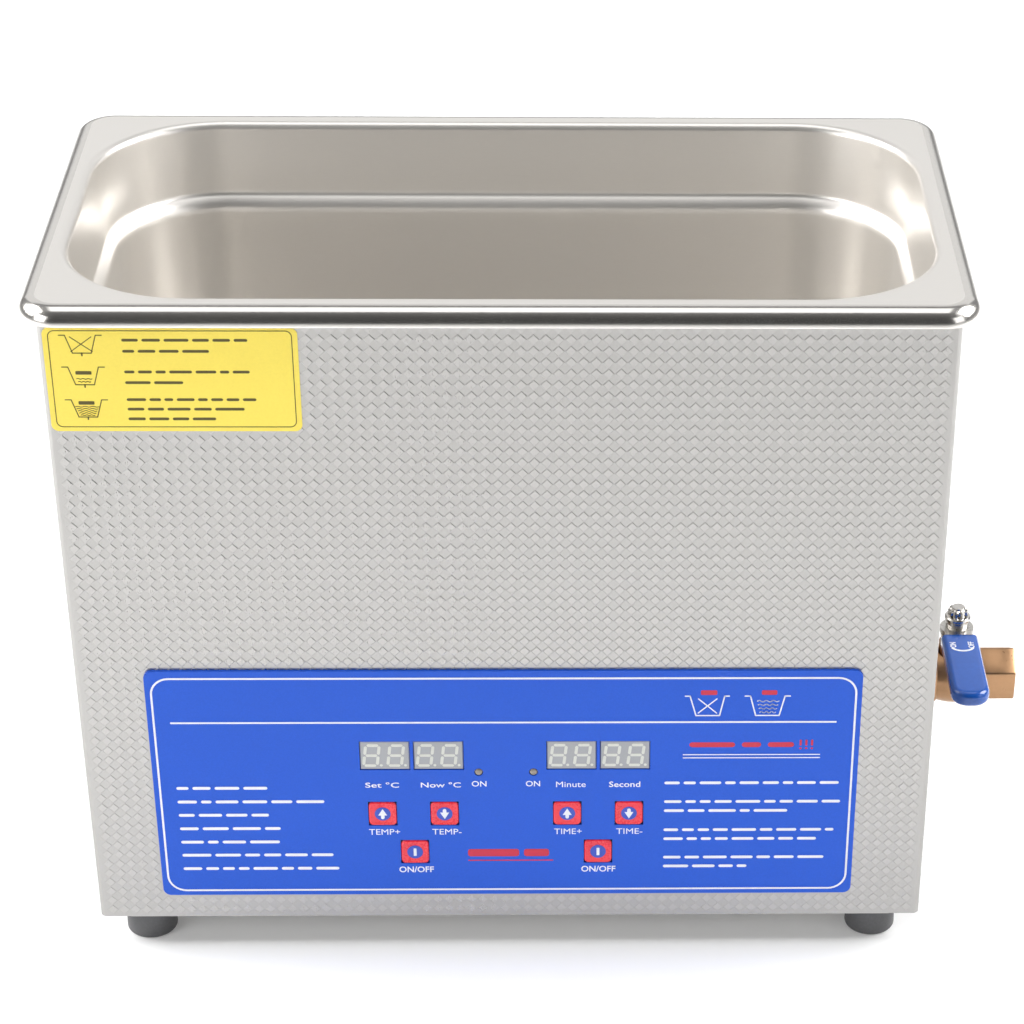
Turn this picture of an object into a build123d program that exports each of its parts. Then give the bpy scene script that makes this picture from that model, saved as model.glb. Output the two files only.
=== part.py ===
"""Bench-top ultrasonic cleaner: a stainless bath with transducers under its floor, in a sheet-metal
housing with a keypad on the front, a drain valve on the right side and a mains inlet at the rear.

Millimetres. +Z is up, the front faces -Y, +X is to the right of a person facing the front.
The origin is on the floor, under the middle of the housing.
"""

from build123d import *
from math import cos, radians, sin, sqrt
import os

# ---- driving dimensions ------------------------------------------------------------------------
RIM_LENGTH = 325.0          # one-third gastronorm pan rim
RIM_DEPTH = 176.0
RIM_TOP = 268.0
RIM_CORNER = 14.0
RIM_DROP = 7.0              # height of the turned-down edge of the rim
RIM_ROLL = 5.8              # radius on the rim's outer top edge
PAN_SHEET = 1.0
BATH_HALF_LENGTH = 151.0    # just under the roll of the mouth
BATH_HALF_DEPTH = 76.0
BATH_CORNER = 45.0
MOUTH_ROLL = 3.0            # radius from the flat rim into the wall
STEP_TOP = RIM_TOP - 26.0   # stacking shoulder in the wall
STEP_BOTTOM = RIM_TOP - 31.5
STEP_TOP_INSET = 2.5
STEP_BOTTOM_INSET = 6.5
BATH_FLOOR = RIM_TOP - 150.0
FLOOR_RADIUS = 15.0
FLOOR_INSET = 12.0          # draft of the wall where the floor radius starts

SHELL_LENGTH = 312.0
SHELL_DEPTH = 166.0
SHELL_SHEET = 0.8
SHELL_CORNER = 2.4
SHELL_BOTTOM = 14.0
SHELL_TURN_IN = 20.0        # width of the flange folded in at the bottom

BASE_LENGTH = 294.0
BASE_DEPTH = 163.0
BASE_SHEET = 1.2
FOOT_X = 138.7
FOOT_Y = 69.3
FOOT_RADIUS = 9.6
FOOT_RECESS_RADIUS = 4.5
FOOT_RECESS_DEPTH = 6.0

OVERLAY_LEFT = -131.0
OVERLAY_RIGHT = 129.0
OVERLAY_LOW = 24.8
OVERLAY_HIGH = 124.3
OVERLAY_THICK = 1.2
LABEL_LEFT = -154.0
LABEL_RIGHT = -68.6
LABEL_LOW = 220.8
LABEL_HIGH = 259.5
LABEL_THICK = 0.25

GROUPS = {"temperature": -35.6, "time": 33.0}   # centre of each half of the keypad
DISPLAY_OFFSET = 9.85
DISPLAY_LENGTH = 18.2
DISPLAY_HEIGHT = 12.3
DISPLAY_Z = 87.7
KEY_OFFSET = 11.5
KEY_SIZE = 10.3
KEY_Z = 61.9
SWITCH_KEY_Z = 44.5
KEY_TRAVEL = 0.4
LED_OFFSETS = (-11.1, 9.1)
LED_Z = 80.4

VALVE_X = 174.2             # stem of the drain valve
VALVE_Z = 70.5              # axis of the drain line
VALVE_END = 197.6
VALVE_START = 158.0
OUTLET_RADIUS = 7.475       # minor radius of a G 3/8 thread
OUTLET_DEPTH = 12.0
BALL_RADIUS = 8.3
STEM_RADIUS = 2.95
LEVER_LOW = 90.0
LEVER_SHEET = 2.0
LEVER_REACH = 53.0
LEVER_HUB_RADIUS = 6.6
LEVER_WIDTH = 10.4
LOCK_NUT_HEIGHT = 8.6
STEM_END = 101.0
GRIP_WIDTH = 14.6
GRIP_DEPTH = 6.4
GRIP_START = 8.0
DRAIN_X = 104.0
NIPPLE_RADIUS = 8.15
NIPPLE_BITE = 6.5           # how far the nipple screws into the valve
WATERWAY_RADIUS = 5.0
SEAT_POCKET_RADIUS = 7.2
SEAT_POCKET_END = 8.6
BARREL_RADIUS = 10.4
BULGE_RADIUS = 11.6
BOSS_TOP = 86.0

TRANSDUCER_X = (-84.0, -22.0, 40.0)
HORN_TOP_RADIUS = 24.0
STACK_RADIUS = 19.0
HORN_HEIGHT = 22.0
RING_THICK = 5.0
ELECTRODE_THICK = 0.3
MASS_HEIGHT = 20.0

INLET_X = 104.0
SWITCH_X = 58.0
REAR_Z = 48.0
ROCKER_LENGTH = 13.6
ROCKER_TILT = 9.0
ROCKER_WELL = 5.6           # half the height of the well that the rocker sits in

# ---- derived dimensions ------------------------------------------------------------------------
FRONT = -SHELL_DEPTH / 2
REAR = SHELL_DEPTH / 2
SHELL_TOP = RIM_TOP - PAN_SHEET
ROCKER_PIVOT_Y = REAR - 4.0
PAN_UNDERSIDE = BATH_FLOOR - PAN_SHEET
HORN_BOTTOM = PAN_UNDERSIDE - HORN_HEIGHT
MASS_TOP = HORN_BOTTOM - 2 * (RING_THICK + ELECTRODE_THICK)
MASS_BOTTOM = MASS_TOP - MASS_HEIGHT
BOARD_FRONT = FRONT + 6.5   # component side of the control board
BOARD_BACK = BOARD_FRONT + 1.6
GENERATOR_Z = 24.0          # underside of the ultrasonic generator board
GENERATOR_TOP = GENERATOR_Z + 1.6


# ---- helpers -----------------------------------------------------------------------------------
def block(x0, x1, y0, y1, z0, z1):
    """A box between two opposite corners."""
    return Pos((x0 + x1) / 2, (y0 + y1) / 2, (z0 + z1) / 2) * Box(x1 - x0, y1 - y0, z1 - z0)


def upright(x, y, z0, z1, radius):
    """A cylinder along Z."""
    return Pos(x, y, (z0 + z1) / 2) * Cylinder(radius, z1 - z0)


def lying(x0, x1, y, z, radius):
    """A cylinder along X."""
    return Pos((x0 + x1) / 2, y, z) * Rot(0, 90, 0) * Cylinder(radius, x1 - x0)


def fore_and_aft(x, y0, y1, z, radius):
    """A cylinder along Y."""
    return Pos(x, (y0 + y1) / 2, z) * Rot(90, 0, 0) * Cylinder(radius, y1 - y0)


def hexagon(flats):
    """A hexagon across the given flats, one flat parallel to its local X."""
    return RegularPolygon(radius=flats / sqrt(3), side_count=6)


def front_plane(y):
    """A plane facing the front at depth y: local X is +X and local Y is +Z."""
    return Plane(origin=(0, y, 0), x_dir=(1, 0, 0), z_dir=(0, -1, 0))


def rear_plane(y):
    """A plane facing the rear at depth y: local X is -X and local Y is +Z."""
    return Plane(origin=(0, y, 0), x_dir=(-1, 0, 0), z_dir=(0, 1, 0))


def plate(x0, x1, z0, z1, corner, y, thick):
    """A flat plate with rounded corners whose back is at y and whose front is thick nearer the user."""
    middle = Pos((x0 + x1) / 2, (z0 + z1) / 2)
    return extrude(front_plane(y) * middle * RectangleRounded(x1 - x0, z1 - z0, corner), amount=thick)


def group(shapes):
    """Several separate solids that share one node."""
    return Compound(children=[solid for shape in shapes for solid in shape.solids()])


def corners(x, y):
    """The four sign combinations of a rectangle's corners."""
    return [(sx * x, sy * y) for sx in (-1, 1) for sy in (-1, 1)]


def display_positions():
    """Name and centre of each two-digit display."""
    places = {}
    for name, middle in GROUPS.items():
        places[f"{name}_display_left"] = middle - DISPLAY_OFFSET
        places[f"{name}_display_right"] = middle + DISPLAY_OFFSET
    return places


def key_positions():
    """Name and centre (x, z) of each key."""
    places = {}
    for name, middle in GROUPS.items():
        places[f"{name}_up_key"] = (middle - KEY_OFFSET, KEY_Z)
        places[f"{name}_down_key"] = (middle + KEY_OFFSET, KEY_Z)
        places[f"{name}_switch_key"] = (middle, SWITCH_KEY_Z)
    return places


# ---- bath --------------------------------------------------------------------------------------
def wall_points(offset):
    """Inset and height of the pan's wall, floor first, for the inside (0) or a parallel outside."""
    points = []
    reach = FLOOR_RADIUS + offset
    for angle in (90, 60, 30, 0):
        inset = FLOOR_INSET + FLOOR_RADIUS - reach * cos(radians(angle))
        points.append((inset, BATH_FLOOR + FLOOR_RADIUS - reach * sin(radians(angle))))
    points.append((STEP_BOTTOM_INSET - offset, STEP_BOTTOM))
    points.append((STEP_TOP_INSET - offset, STEP_TOP))
    bend = MOUTH_ROLL - offset
    for angle in (90, 60, 30, 0):
        inset = bend * sin(radians(angle)) - MOUTH_ROLL
        points.append((inset, RIM_TOP - MOUTH_ROLL + bend * cos(radians(angle))))
    return points


def pan_body(offset):
    """A solid of the pan's inside (0) or of its outside, up to the rim."""
    sections = []
    for inset, z in wall_points(offset):
        outline = RectangleRounded(
            2 * (BATH_HALF_LENGTH - inset), 2 * (BATH_HALF_DEPTH - inset), BATH_CORNER - inset
        )
        sections.append(Plane.XY.offset(z) * outline)
    return loft(sections, ruled=True)


def rim_block(inset, roll):
    """The rim's outline as a solid with a rolled top edge, thinner all round by the inset."""
    outline = RectangleRounded(RIM_LENGTH - 2 * inset, RIM_DEPTH - 2 * inset, RIM_CORNER - inset)
    body = extrude(Plane.XY.offset(RIM_TOP - RIM_DROP) * outline, amount=RIM_DROP - inset)
    return fillet(body.faces().sort_by(Axis.Z)[-1].edges(), roll)


def outside_rim_hollow():
    """Everything round and above the hollow under the rim, for trimming what stands inside it."""
    low = RIM_TOP - RIM_DROP
    around = block(-RIM_LENGTH, RIM_LENGTH, -RIM_DEPTH, RIM_DEPTH, low, RIM_TOP + 5)
    return around - rim_block(PAN_SHEET, RIM_ROLL - PAN_SHEET)


def bath_tank():
    rim = rim_block(0, RIM_ROLL) - rim_block(PAN_SHEET, RIM_ROLL - PAN_SHEET)
    tank = rim + pan_body(PAN_SHEET) - pan_body(0)
    return tank - upright(DRAIN_X, 0, PAN_UNDERSIDE - 1, BATH_FLOOR + 1, 7.5)


# ---- housing -----------------------------------------------------------------------------------
def key_windows(clearance, y, depth):
    """Square holes for the keys, cut from depth y towards the rear."""
    size = KEY_SIZE + 2 * clearance
    holes = []
    for x, z in key_positions().values():
        half = size / 2
        holes.append(block(x - half, x + half, y, y + depth, z - half, z + half))
    return holes


def display_windows(clearance, y, depth):
    """Rectangular holes for the displays, cut from depth y towards the rear."""
    half_length = DISPLAY_LENGTH / 2 + clearance
    half_height = DISPLAY_HEIGHT / 2 + clearance
    low = DISPLAY_Z - half_height
    high = DISPLAY_Z + half_height
    return [
        block(x - half_length, x + half_length, y, y + depth, low, high) for x in display_positions().values()
    ]


def led_holes(clearance, y, depth):
    return [fore_and_aft(x, y, y + depth, LED_Z, 1.5 + clearance) for x in LED_OFFSETS]


def housing_shell():
    outer = RectangleRounded(SHELL_LENGTH, SHELL_DEPTH, SHELL_CORNER)
    inner = RectangleRounded(
        SHELL_LENGTH - 2 * SHELL_SHEET, SHELL_DEPTH - 2 * SHELL_SHEET, SHELL_CORNER - SHELL_SHEET
    )
    height = SHELL_TOP - SHELL_BOTTOM
    shell = extrude(Plane.XY.offset(SHELL_BOTTOM) * outer, amount=height)
    shell -= extrude(Plane.XY.offset(SHELL_BOTTOM + SHELL_SHEET) * inner, amount=height)
    turn_in = SHELL_SHEET + SHELL_TURN_IN
    x = SHELL_LENGTH / 2 - turn_in
    y = SHELL_DEPTH / 2 - turn_in
    shell -= block(-x, x, -y, y, SHELL_BOTTOM - 1, SHELL_BOTTOM + 2)
    shell -= outside_rim_hollow()
    for cut in key_windows(0.4, FRONT - 1, 3) + display_windows(0.3, FRONT - 1, 3):
        shell -= cut
    for cut in led_holes(0.3, FRONT - 1, 3):
        shell -= cut
    shell -= lying(SHELL_LENGTH / 2 - 3, SHELL_LENGTH / 2 + 1, 0, VALVE_Z, 8.6)
    shell -= block(INLET_X - 14, INLET_X + 14, REAR - 3, REAR + 1, REAR_Z - 10.2, REAR_Z + 10.2)
    shell -= block(SWITCH_X - 9.8, SWITCH_X + 9.8, REAR - 3, REAR + 1, REAR_Z - 6.7, REAR_Z + 6.7)
    for x in (INLET_X - 20, INLET_X + 20):
        shell -= fore_and_aft(x, REAR - 3, REAR + 1, REAR_Z, 1.6)
    for x, y in corners(FOOT_X, FOOT_Y):
        shell -= upright(x, y, SHELL_BOTTOM - 1, SHELL_BOTTOM + 2, 2.2)
    for x, y in base_screw_positions():
        shell -= upright(x, y, SHELL_BOTTOM - 1, SHELL_BOTTOM + 2, 1.35)
    return shell


def base_screw_positions():
    return [(0, -72), (0, 72), (-141, 0), (141, 0)]


def base_plate():
    top = SHELL_BOTTOM
    outline = RectangleRounded(BASE_LENGTH, BASE_DEPTH, 3)
    base = extrude(Plane.XY.offset(top - BASE_SHEET) * outline, amount=BASE_SHEET)
    for x, y in corners(FOOT_X, FOOT_Y):
        base -= upright(x, y, top - 3, top + 1, 2.2)
    for x, y in base_screw_positions():
        base -= upright(x, y, top - 3, top + 1, 1.7)
    for x, y in generator_spacer_positions():
        base -= upright(x, y, top - 3, top + 1, 1.6)
    slot = Rot(0, 0, 90) * SlotOverall(44, 4)
    for side in (-1, 1):
        for step in range(9):
            base -= extrude(Plane.XY.offset(top - 3) * Pos(42 + 7 * step, side * 30) * slot, amount=5)
    return base


def foot(x, y):
    """A rubber foot with a stepped hole for its screw."""
    top = SHELL_BOTTOM - BASE_SHEET
    body = upright(x, y, 0, top, FOOT_RADIUS)
    body = chamfer(body.edges().group_by(Axis.Z)[0], 1.0)
    body -= upright(x, y, -1, FOOT_RECESS_DEPTH, FOOT_RECESS_RADIUS)
    body -= upright(x, y, FOOT_RECESS_DEPTH, 9.2, 3.9)
    return body - upright(x, y, 9, top + 1, 2.2)


def foot_screws():
    return group(
        [
            upright(x, y, 6.4, 9.2, 3.6) + upright(x, y, 9.2, 20.0, 2.0) - upright(x, y, 6.0, 7.6, 1.2)
            for x, y in corners(FOOT_X, FOOT_Y)
        ]
    )


def foot_nuts():
    low = SHELL_BOTTOM + SHELL_SHEET
    nut = extrude(Plane.XY.offset(low) * (hexagon(7.0) - Circle(2.05)), amount=3.2)
    return group([Pos(x, y, 0) * nut for x, y in corners(FOOT_X, FOOT_Y)])


def base_screws():
    low = SHELL_BOTTOM - BASE_SHEET
    return group(
        [
            upright(x, y, low - 2.0, low, 2.8) + upright(x, y, low, low + 8.0, 1.3)
            for x, y in base_screw_positions()
        ]
    )


# ---- front panel -------------------------------------------------------------------------------
def control_overlay():
    face = plate(OVERLAY_LEFT, OVERLAY_RIGHT, OVERLAY_LOW, OVERLAY_HIGH, 3.0, FRONT, OVERLAY_THICK)
    front = FRONT - OVERLAY_THICK - 1
    for cut in key_windows(0.2, front, 4) + display_windows(0.15, front, 4) + led_holes(0.15, front, 4):
        face -= cut
    return face


def instruction_label():
    return plate(LABEL_LEFT, LABEL_RIGHT, LABEL_LOW, LABEL_HIGH, 2.5, FRONT, LABEL_THICK)


def display(x):
    """A two-digit module with its face just behind the overlay's surface."""
    half = DISPLAY_LENGTH / 2
    low = DISPLAY_Z - DISPLAY_HEIGHT / 2
    body = block(x - half, x + half, FRONT - 0.9, BOARD_FRONT, low, low + DISPLAY_HEIGHT)
    return chamfer(body.faces().sort_by(Axis.Y)[0].edges(), 0.3)


def indicator_leds():
    leds = []
    for x in LED_OFFSETS:
        dome = Pos(x, FRONT - 0.4, LED_Z) * Sphere(1.45)
        barrel = fore_and_aft(x, FRONT - 0.4, BOARD_FRONT, LED_Z, 1.45)
        leds.append(dome + barrel)
    return group(leds)


def key(x, z):
    """A square key cap with a plunger that stands just short of its switch."""
    half = KEY_SIZE / 2
    cap_back = FRONT + 0.2
    cap = extrude(
        front_plane(cap_back) * Pos(x, z) * RectangleRounded(2 * half, 2 * half, 1.2),
        amount=OVERLAY_THICK + 0.5,
    )
    cap = fillet(cap.faces().sort_by(Axis.Y)[0].edges(), 0.3)
    return cap + fore_and_aft(x, cap_back, BOARD_FRONT - 4.6 - KEY_TRAVEL, z, 1.6)


def key_switches():
    switches = []
    for x, z in key_positions().values():
        body = block(x - 3, x + 3, BOARD_FRONT - 3.5, BOARD_FRONT, z - 3, z + 3)
        switches.append(body + fore_and_aft(x, BOARD_FRONT - 4.5, BOARD_FRONT - 3.5, z, 1.7))
    return group(switches)


def board_stud_positions():
    return [(sign * 64, z) for sign in (-1, 1) for z in (36, 96)]


def control_board():
    board = block(-70, 70, BOARD_FRONT, BOARD_BACK, 30, 102)
    for x, z in board_stud_positions():
        board -= fore_and_aft(x, BOARD_FRONT - 1, BOARD_BACK + 1, z, 1.6)
    return board


def board_studs():
    """Shouldered studs welded inside the front of the shell."""
    inner_face = FRONT + SHELL_SHEET
    return group(
        [
            fore_and_aft(x, inner_face, BOARD_FRONT, z, 2.6)
            + fore_and_aft(x, BOARD_FRONT, BOARD_BACK + 4.5, z, 1.45)
            for x, z in board_stud_positions()
        ]
    )


def board_nuts():
    nuts = []
    for x, z in board_stud_positions():
        outline = Pos(-x, z) * (hexagon(5.5) - Circle(1.5))
        nuts.append(extrude(rear_plane(BOARD_BACK) * outline, amount=2.4))
    return group(nuts)


# ---- ultrasonic generator ----------------------------------------------------------------------
def generator_spacer_positions():
    return [(x, y) for x in (-128, -22) for y in (-38, 44)]


def generator_board():
    board = block(-134, -16, -44, 50, GENERATOR_Z, GENERATOR_TOP)
    for x, y in generator_spacer_positions():
        board -= upright(x, y, GENERATOR_Z - 1, GENERATOR_TOP + 1, 1.6)
    return board


def generator_spacers():
    spacers = []
    for x, y in generator_spacer_positions():
        bore = upright(x, y, SHELL_BOTTOM - 1, GENERATOR_Z + 1, 1.6)
        spacers.append(upright(x, y, SHELL_BOTTOM, GENERATOR_Z, 3.0) - bore)
    return group(spacers)


def generator_screws():
    return group(
        [
            upright(x, y, GENERATOR_TOP, GENERATOR_TOP + 2.2, 2.8)
            + upright(x, y, SHELL_BOTTOM - BASE_SHEET + 0.1, GENERATOR_TOP, 1.5)
            for x, y in generator_spacer_positions()
        ]
    )


def transformer_core():
    """A closed ferrite frame that the winding sits in, its legs standing across the board."""
    core = block(-118, -78, -20, -8, GENERATOR_TOP, GENERATOR_TOP + 26)
    for side in (-1, 1):
        x = -98 + side * 9.5
        core -= block(x - 4.5, x + 4.5, -21, -7, GENERATOR_TOP + 5, GENERATOR_TOP + 21)
    return core


def transformer_coil():
    """The winding on its former, around the core's middle leg."""
    low = GENERATOR_TOP + 5.3
    high = GENERATOR_TOP + 20.7
    coil = block(-106.7, -89.3, -27, -1, low, high)
    coil = fillet(coil.edges().filter_by(Axis.Z), 3.0)
    return coil - block(-103.2, -92.8, -20.2, -7.8, low - 1, high + 1)


def filter_capacitors():
    cans = []
    for x in (-62, -38):
        can = upright(x, -26, GENERATOR_TOP, GENERATOR_TOP + 24, 9.0)
        cans.append(fillet(can.edges().group_by(Axis.Z)[-1], 1.0))
    return group(cans)


def heat_sink():
    sink = block(-120, -40, 20, 24, GENERATOR_TOP, GENERATOR_TOP + 25)
    for step in range(9):
        x = -119 + step * 9.75
        sink += block(x - 1, x + 1, 23.5, 40, GENERATOR_TOP, GENERATOR_TOP + 25)
    return sink


def power_transistors():
    pieces = []
    for step in range(4):
        x = -108 + step * 19
        body = block(x - 7.5, x + 7.5, 15.5, 20, GENERATOR_TOP + 3, GENERATOR_TOP + 22)
        pieces.append(body - fore_and_aft(x, 15, 21, GENERATOR_TOP + 18, 1.7))
    return group(pieces)


# ---- transducers and heater --------------------------------------------------------------------
def transducer_horns():
    horns = []
    for x in TRANSDUCER_X:
        sections = [
            Plane.XY.offset(HORN_BOTTOM) * Pos(x, 0) * Circle(STACK_RADIUS),
            Plane.XY.offset(PAN_UNDERSIDE) * Pos(x, 0) * Circle(HORN_TOP_RADIUS),
        ]
        horn = loft(sections, ruled=True)
        horns.append(horn - upright(x, 0, HORN_BOTTOM - 1, HORN_BOTTOM + 15, 5.0))
    return group(horns)


def piezo_rings():
    rings = []
    for x in TRANSDUCER_X:
        for top in (HORN_BOTTOM, HORN_BOTTOM - RING_THICK - ELECTRODE_THICK):
            ring = upright(x, 0, top - RING_THICK, top, STACK_RADIUS)
            rings.append(ring - upright(x, 0, top - RING_THICK - 1, top + 1, 7.5))
    return group(rings)


def transducer_electrodes():
    """Brass discs with a solder tab, between the rings and under them."""
    discs = []
    for x in TRANSDUCER_X:
        for count in (1, 2):
            top = HORN_BOTTOM - count * RING_THICK - (count - 1) * ELECTRODE_THICK
            disc = upright(x, 0, top - ELECTRODE_THICK, top, STACK_RADIUS)
            disc += block(x - 3, x + 3, 15, 28, top - ELECTRODE_THICK, top)
            discs.append(disc - upright(x, 0, top - 2, top + 2, 7.5))
    return group(discs)


def transducer_back_masses():
    masses = []
    for x in TRANSDUCER_X:
        mass = upright(x, 0, MASS_BOTTOM, MASS_TOP, STACK_RADIUS)
        mass = chamfer(mass.edges().group_by(Axis.Z)[0], 1.0)
        masses.append(mass - upright(x, 0, MASS_BOTTOM - 1, MASS_TOP + 1, 5.3))
    return group(masses)


def transducer_bolts():
    bolts = []
    for x in TRANSDUCER_X:
        bolt = upright(x, 0, MASS_BOTTOM - 8, MASS_BOTTOM, 7.5)
        bolt += upright(x, 0, MASS_BOTTOM, HORN_BOTTOM + 13, 4.9)
        socket = Plane.XY.offset(MASS_BOTTOM - 9) * Pos(x, 0) * hexagon(8.0)
        bolts.append(bolt - extrude(socket, amount=6))
    return group(bolts)


def heater_pads():
    """Flat heaters bonded to the drafted front and rear walls of the bath."""
    low = BATH_FLOOR + FLOOR_RADIUS + 8
    high = STEP_BOTTOM - 22
    rise = STEP_BOTTOM - (BATH_FLOOR + FLOOR_RADIUS)

    def wall_y(z):
        share = (z - BATH_FLOOR - FLOOR_RADIUS) / rise
        inset = FLOOR_INSET + share * (STEP_BOTTOM_INSET - FLOOR_INSET)
        return BATH_HALF_DEPTH + PAN_SHEET - inset + 0.02

    pads = []
    for side in (-1, 1):
        points = [
            (0, side * wall_y(low), low),
            (0, side * wall_y(high), high),
            (0, side * (wall_y(high) + 2.5), high),
            (0, side * (wall_y(low) + 2.5), low),
        ]
        outline = make_face(Polyline(*points, close=True))
        pads.append(Pos(-90, 0, 0) * extrude(outline, amount=180, dir=(1, 0, 0)))
    return group(pads)


def thermal_sensor():
    body = upright(72, 34, PAN_UNDERSIDE - 6, PAN_UNDERSIDE, 6.5)
    for offset in (-2.5, 2.5):
        body += block(71.2 + offset, 72.8 + offset, 33.6, 34.4, PAN_UNDERSIDE - 12, PAN_UNDERSIDE - 5)
    return body


# ---- drain -------------------------------------------------------------------------------------
def drain_socket():
    """Flanged outlet under the bath floor."""
    body = upright(DRAIN_X, 0, PAN_UNDERSIDE - 2, PAN_UNDERSIDE, 14)
    body += upright(DRAIN_X, 0, 98, PAN_UNDERSIDE - 1, 9.5)
    return body - upright(DRAIN_X, 0, 97, PAN_UNDERSIDE + 1, 6.5)


def drain_elbow():
    """A bend from the socket to the horizontal drain line."""
    bend = 18.0
    start = (DRAIN_X, 0, 98)
    corner_top = (DRAIN_X, 0, VALVE_Z + bend)
    corner_side = (DRAIN_X + bend, 0, VALVE_Z)
    down = Line(start, corner_top)
    turn = TangentArc(corner_top, corner_side, tangent=(0, 0, -1))
    along = Line(corner_side, (138, 0, VALVE_Z))
    path = Wire([down.edge(), turn.edge(), along.edge()])
    section = Plane(origin=start, z_dir=(0, 0, -1)) * (Circle(9.5) - Circle(6.0))
    return sweep(section, path=path)


def drain_nipple():
    """A threaded pipe from the elbow, through the side of the shell, into the valve."""
    end = VALVE_START + NIPPLE_BITE - 0.1
    return lying(138, end, 0, VALVE_Z, NIPPLE_RADIUS) - lying(137, end + 1, 0, VALVE_Z, 5.5)


def side_hexagon(x0, x1, flats):
    """A hexagonal bar along X on the drain line, with flats on top and underneath."""
    plane = Plane(origin=(x0, 0, VALVE_Z), x_dir=(0, 1, 0), z_dir=(1, 0, 0))
    return extrude(plane * hexagon(flats), amount=x1 - x0)


def bulkhead_nut():
    """The lock nut that clamps the nipple to the inside of the shell."""
    inner_face = SHELL_LENGTH / 2 - SHELL_SHEET
    nut = side_hexagon(inner_face - 8, inner_face, 24)
    return nut - lying(inner_face - 9, inner_face + 1, 0, VALVE_Z, NIPPLE_RADIUS + 0.05)


def turned(edges):
    """The solid of a closed profile spun round the drain line; its heights are radii above the line."""
    return revolve(make_face(edges), axis=Axis((0, 0, VALVE_Z), (1, 0, 0)), revolution_arc=360)


def profile_point(x, radius):
    """A point of a turned profile: x from the stem and a radius from the drain line."""
    return (VALVE_X + x, 0, VALVE_Z + radius)


def valve_waterway():
    """Everything hollow in the valve: nipple bore, seat pockets, ball chamber and threaded outlet."""
    chamber = BALL_RADIUS + 0.4
    shoulder = sqrt(chamber**2 - SEAT_POCKET_RADIUS**2)
    inlet_start = VALVE_START - 1 - VALVE_X
    inlet_end = VALVE_START + NIPPLE_BITE - VALVE_X
    outlet_start = VALVE_END - OUTLET_DEPTH - VALVE_X
    outlet_end = VALVE_END + 1 - VALVE_X
    before = Polyline(
        profile_point(-shoulder, SEAT_POCKET_RADIUS),
        profile_point(-SEAT_POCKET_END, SEAT_POCKET_RADIUS),
        profile_point(-SEAT_POCKET_END, WATERWAY_RADIUS),
        profile_point(inlet_end, WATERWAY_RADIUS),
        profile_point(inlet_end, NIPPLE_RADIUS + 0.05),
        profile_point(inlet_start, NIPPLE_RADIUS + 0.05),
        profile_point(inlet_start, 0),
        profile_point(outlet_end, 0),
        profile_point(outlet_end, OUTLET_RADIUS),
        profile_point(outlet_start, OUTLET_RADIUS),
        profile_point(outlet_start, WATERWAY_RADIUS),
        profile_point(SEAT_POCKET_END, WATERWAY_RADIUS),
        profile_point(SEAT_POCKET_END, SEAT_POCKET_RADIUS),
        profile_point(shoulder, SEAT_POCKET_RADIUS),
    )
    crown = ThreePointArc(
        profile_point(shoulder, SEAT_POCKET_RADIUS),
        profile_point(0, chamber),
        profile_point(-shoulder, SEAT_POCKET_RADIUS),
    )
    return turned([before, crown])


def valve_body():
    """Brass ball valve with hexagonal ends and a boss for the stem."""
    reach = sqrt(BULGE_RADIUS**2 - BARREL_RADIUS**2)
    sides = Polyline(
        profile_point(-reach, BARREL_RADIUS),
        profile_point(-10, BARREL_RADIUS),
        profile_point(-10, 0),
        profile_point(12, 0),
        profile_point(12, BARREL_RADIUS),
        profile_point(reach, BARREL_RADIUS),
    )
    bulge = ThreePointArc(
        profile_point(reach, BARREL_RADIUS),
        profile_point(0, BULGE_RADIUS),
        profile_point(-reach, BARREL_RADIUS),
    )
    body = turned([sides, bulge])
    body += side_hexagon(VALVE_START, VALVE_X - 7.5, 22)
    body += side_hexagon(VALVE_X + 9.5, VALVE_END, 20)
    body += upright(VALVE_X, 0, VALVE_Z, BOSS_TOP, 6.5)
    body -= valve_waterway()
    body -= upright(VALVE_X, 0, VALVE_Z, BOSS_TOP + 1, STEM_RADIUS + 0.1)
    return body - upright(VALVE_X, 0, BOSS_TOP - 5, BOSS_TOP + 1, 4.6)


def valve_seals():
    """Two seats either side of the ball and the packing round the stem."""
    ball = BALL_RADIUS + 0.3
    outer = SEAT_POCKET_RADIUS - 0.1
    middle = (WATERWAY_RADIUS + outer) / 2
    seals = []
    for side in (-1, 1):
        inner_point, middle_point, outer_point = (
            profile_point(side * sqrt(ball**2 - radius**2), radius)
            for radius in (WATERWAY_RADIUS, middle, outer)
        )
        back = Polyline(
            outer_point,
            profile_point(side * (SEAT_POCKET_END - 0.1), outer),
            profile_point(side * (SEAT_POCKET_END - 0.1), WATERWAY_RADIUS),
            inner_point,
        )
        seals.append(turned([back, ThreePointArc(inner_point, middle_point, outer_point)]))
    low = BOSS_TOP - 5
    packing = upright(VALVE_X, 0, low, low + 3, 4.55)
    seals.append(packing - upright(VALVE_X, 0, low - 1, low + 4, STEM_RADIUS + 0.1))
    return group(seals)


def valve_ball():
    """The ball, shut: its bore lies across the line, with a slot on top for the stem."""
    ball = Pos(VALVE_X, 0, VALVE_Z) * Sphere(BALL_RADIUS)
    ball -= fore_and_aft(VALVE_X, -10, 10, VALVE_Z, 5.0)
    return ball - block(VALVE_X - 10, VALVE_X + 10, -1.2, 1.2, VALVE_Z + 5.6, VALVE_Z + 10)


def valve_stem():
    stem = upright(VALVE_X, 0, VALVE_Z + BALL_RADIUS + 0.1, LEVER_LOW + LEVER_SHEET, STEM_RADIUS)
    stem += block(VALVE_X - 2.4, VALVE_X + 2.4, -1.1, 1.1, VALVE_Z + 5.7, VALVE_Z + BALL_RADIUS + 0.2)
    return stem + upright(VALVE_X, 0, LEVER_LOW + LEVER_SHEET, STEM_END, 2.4)


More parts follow.
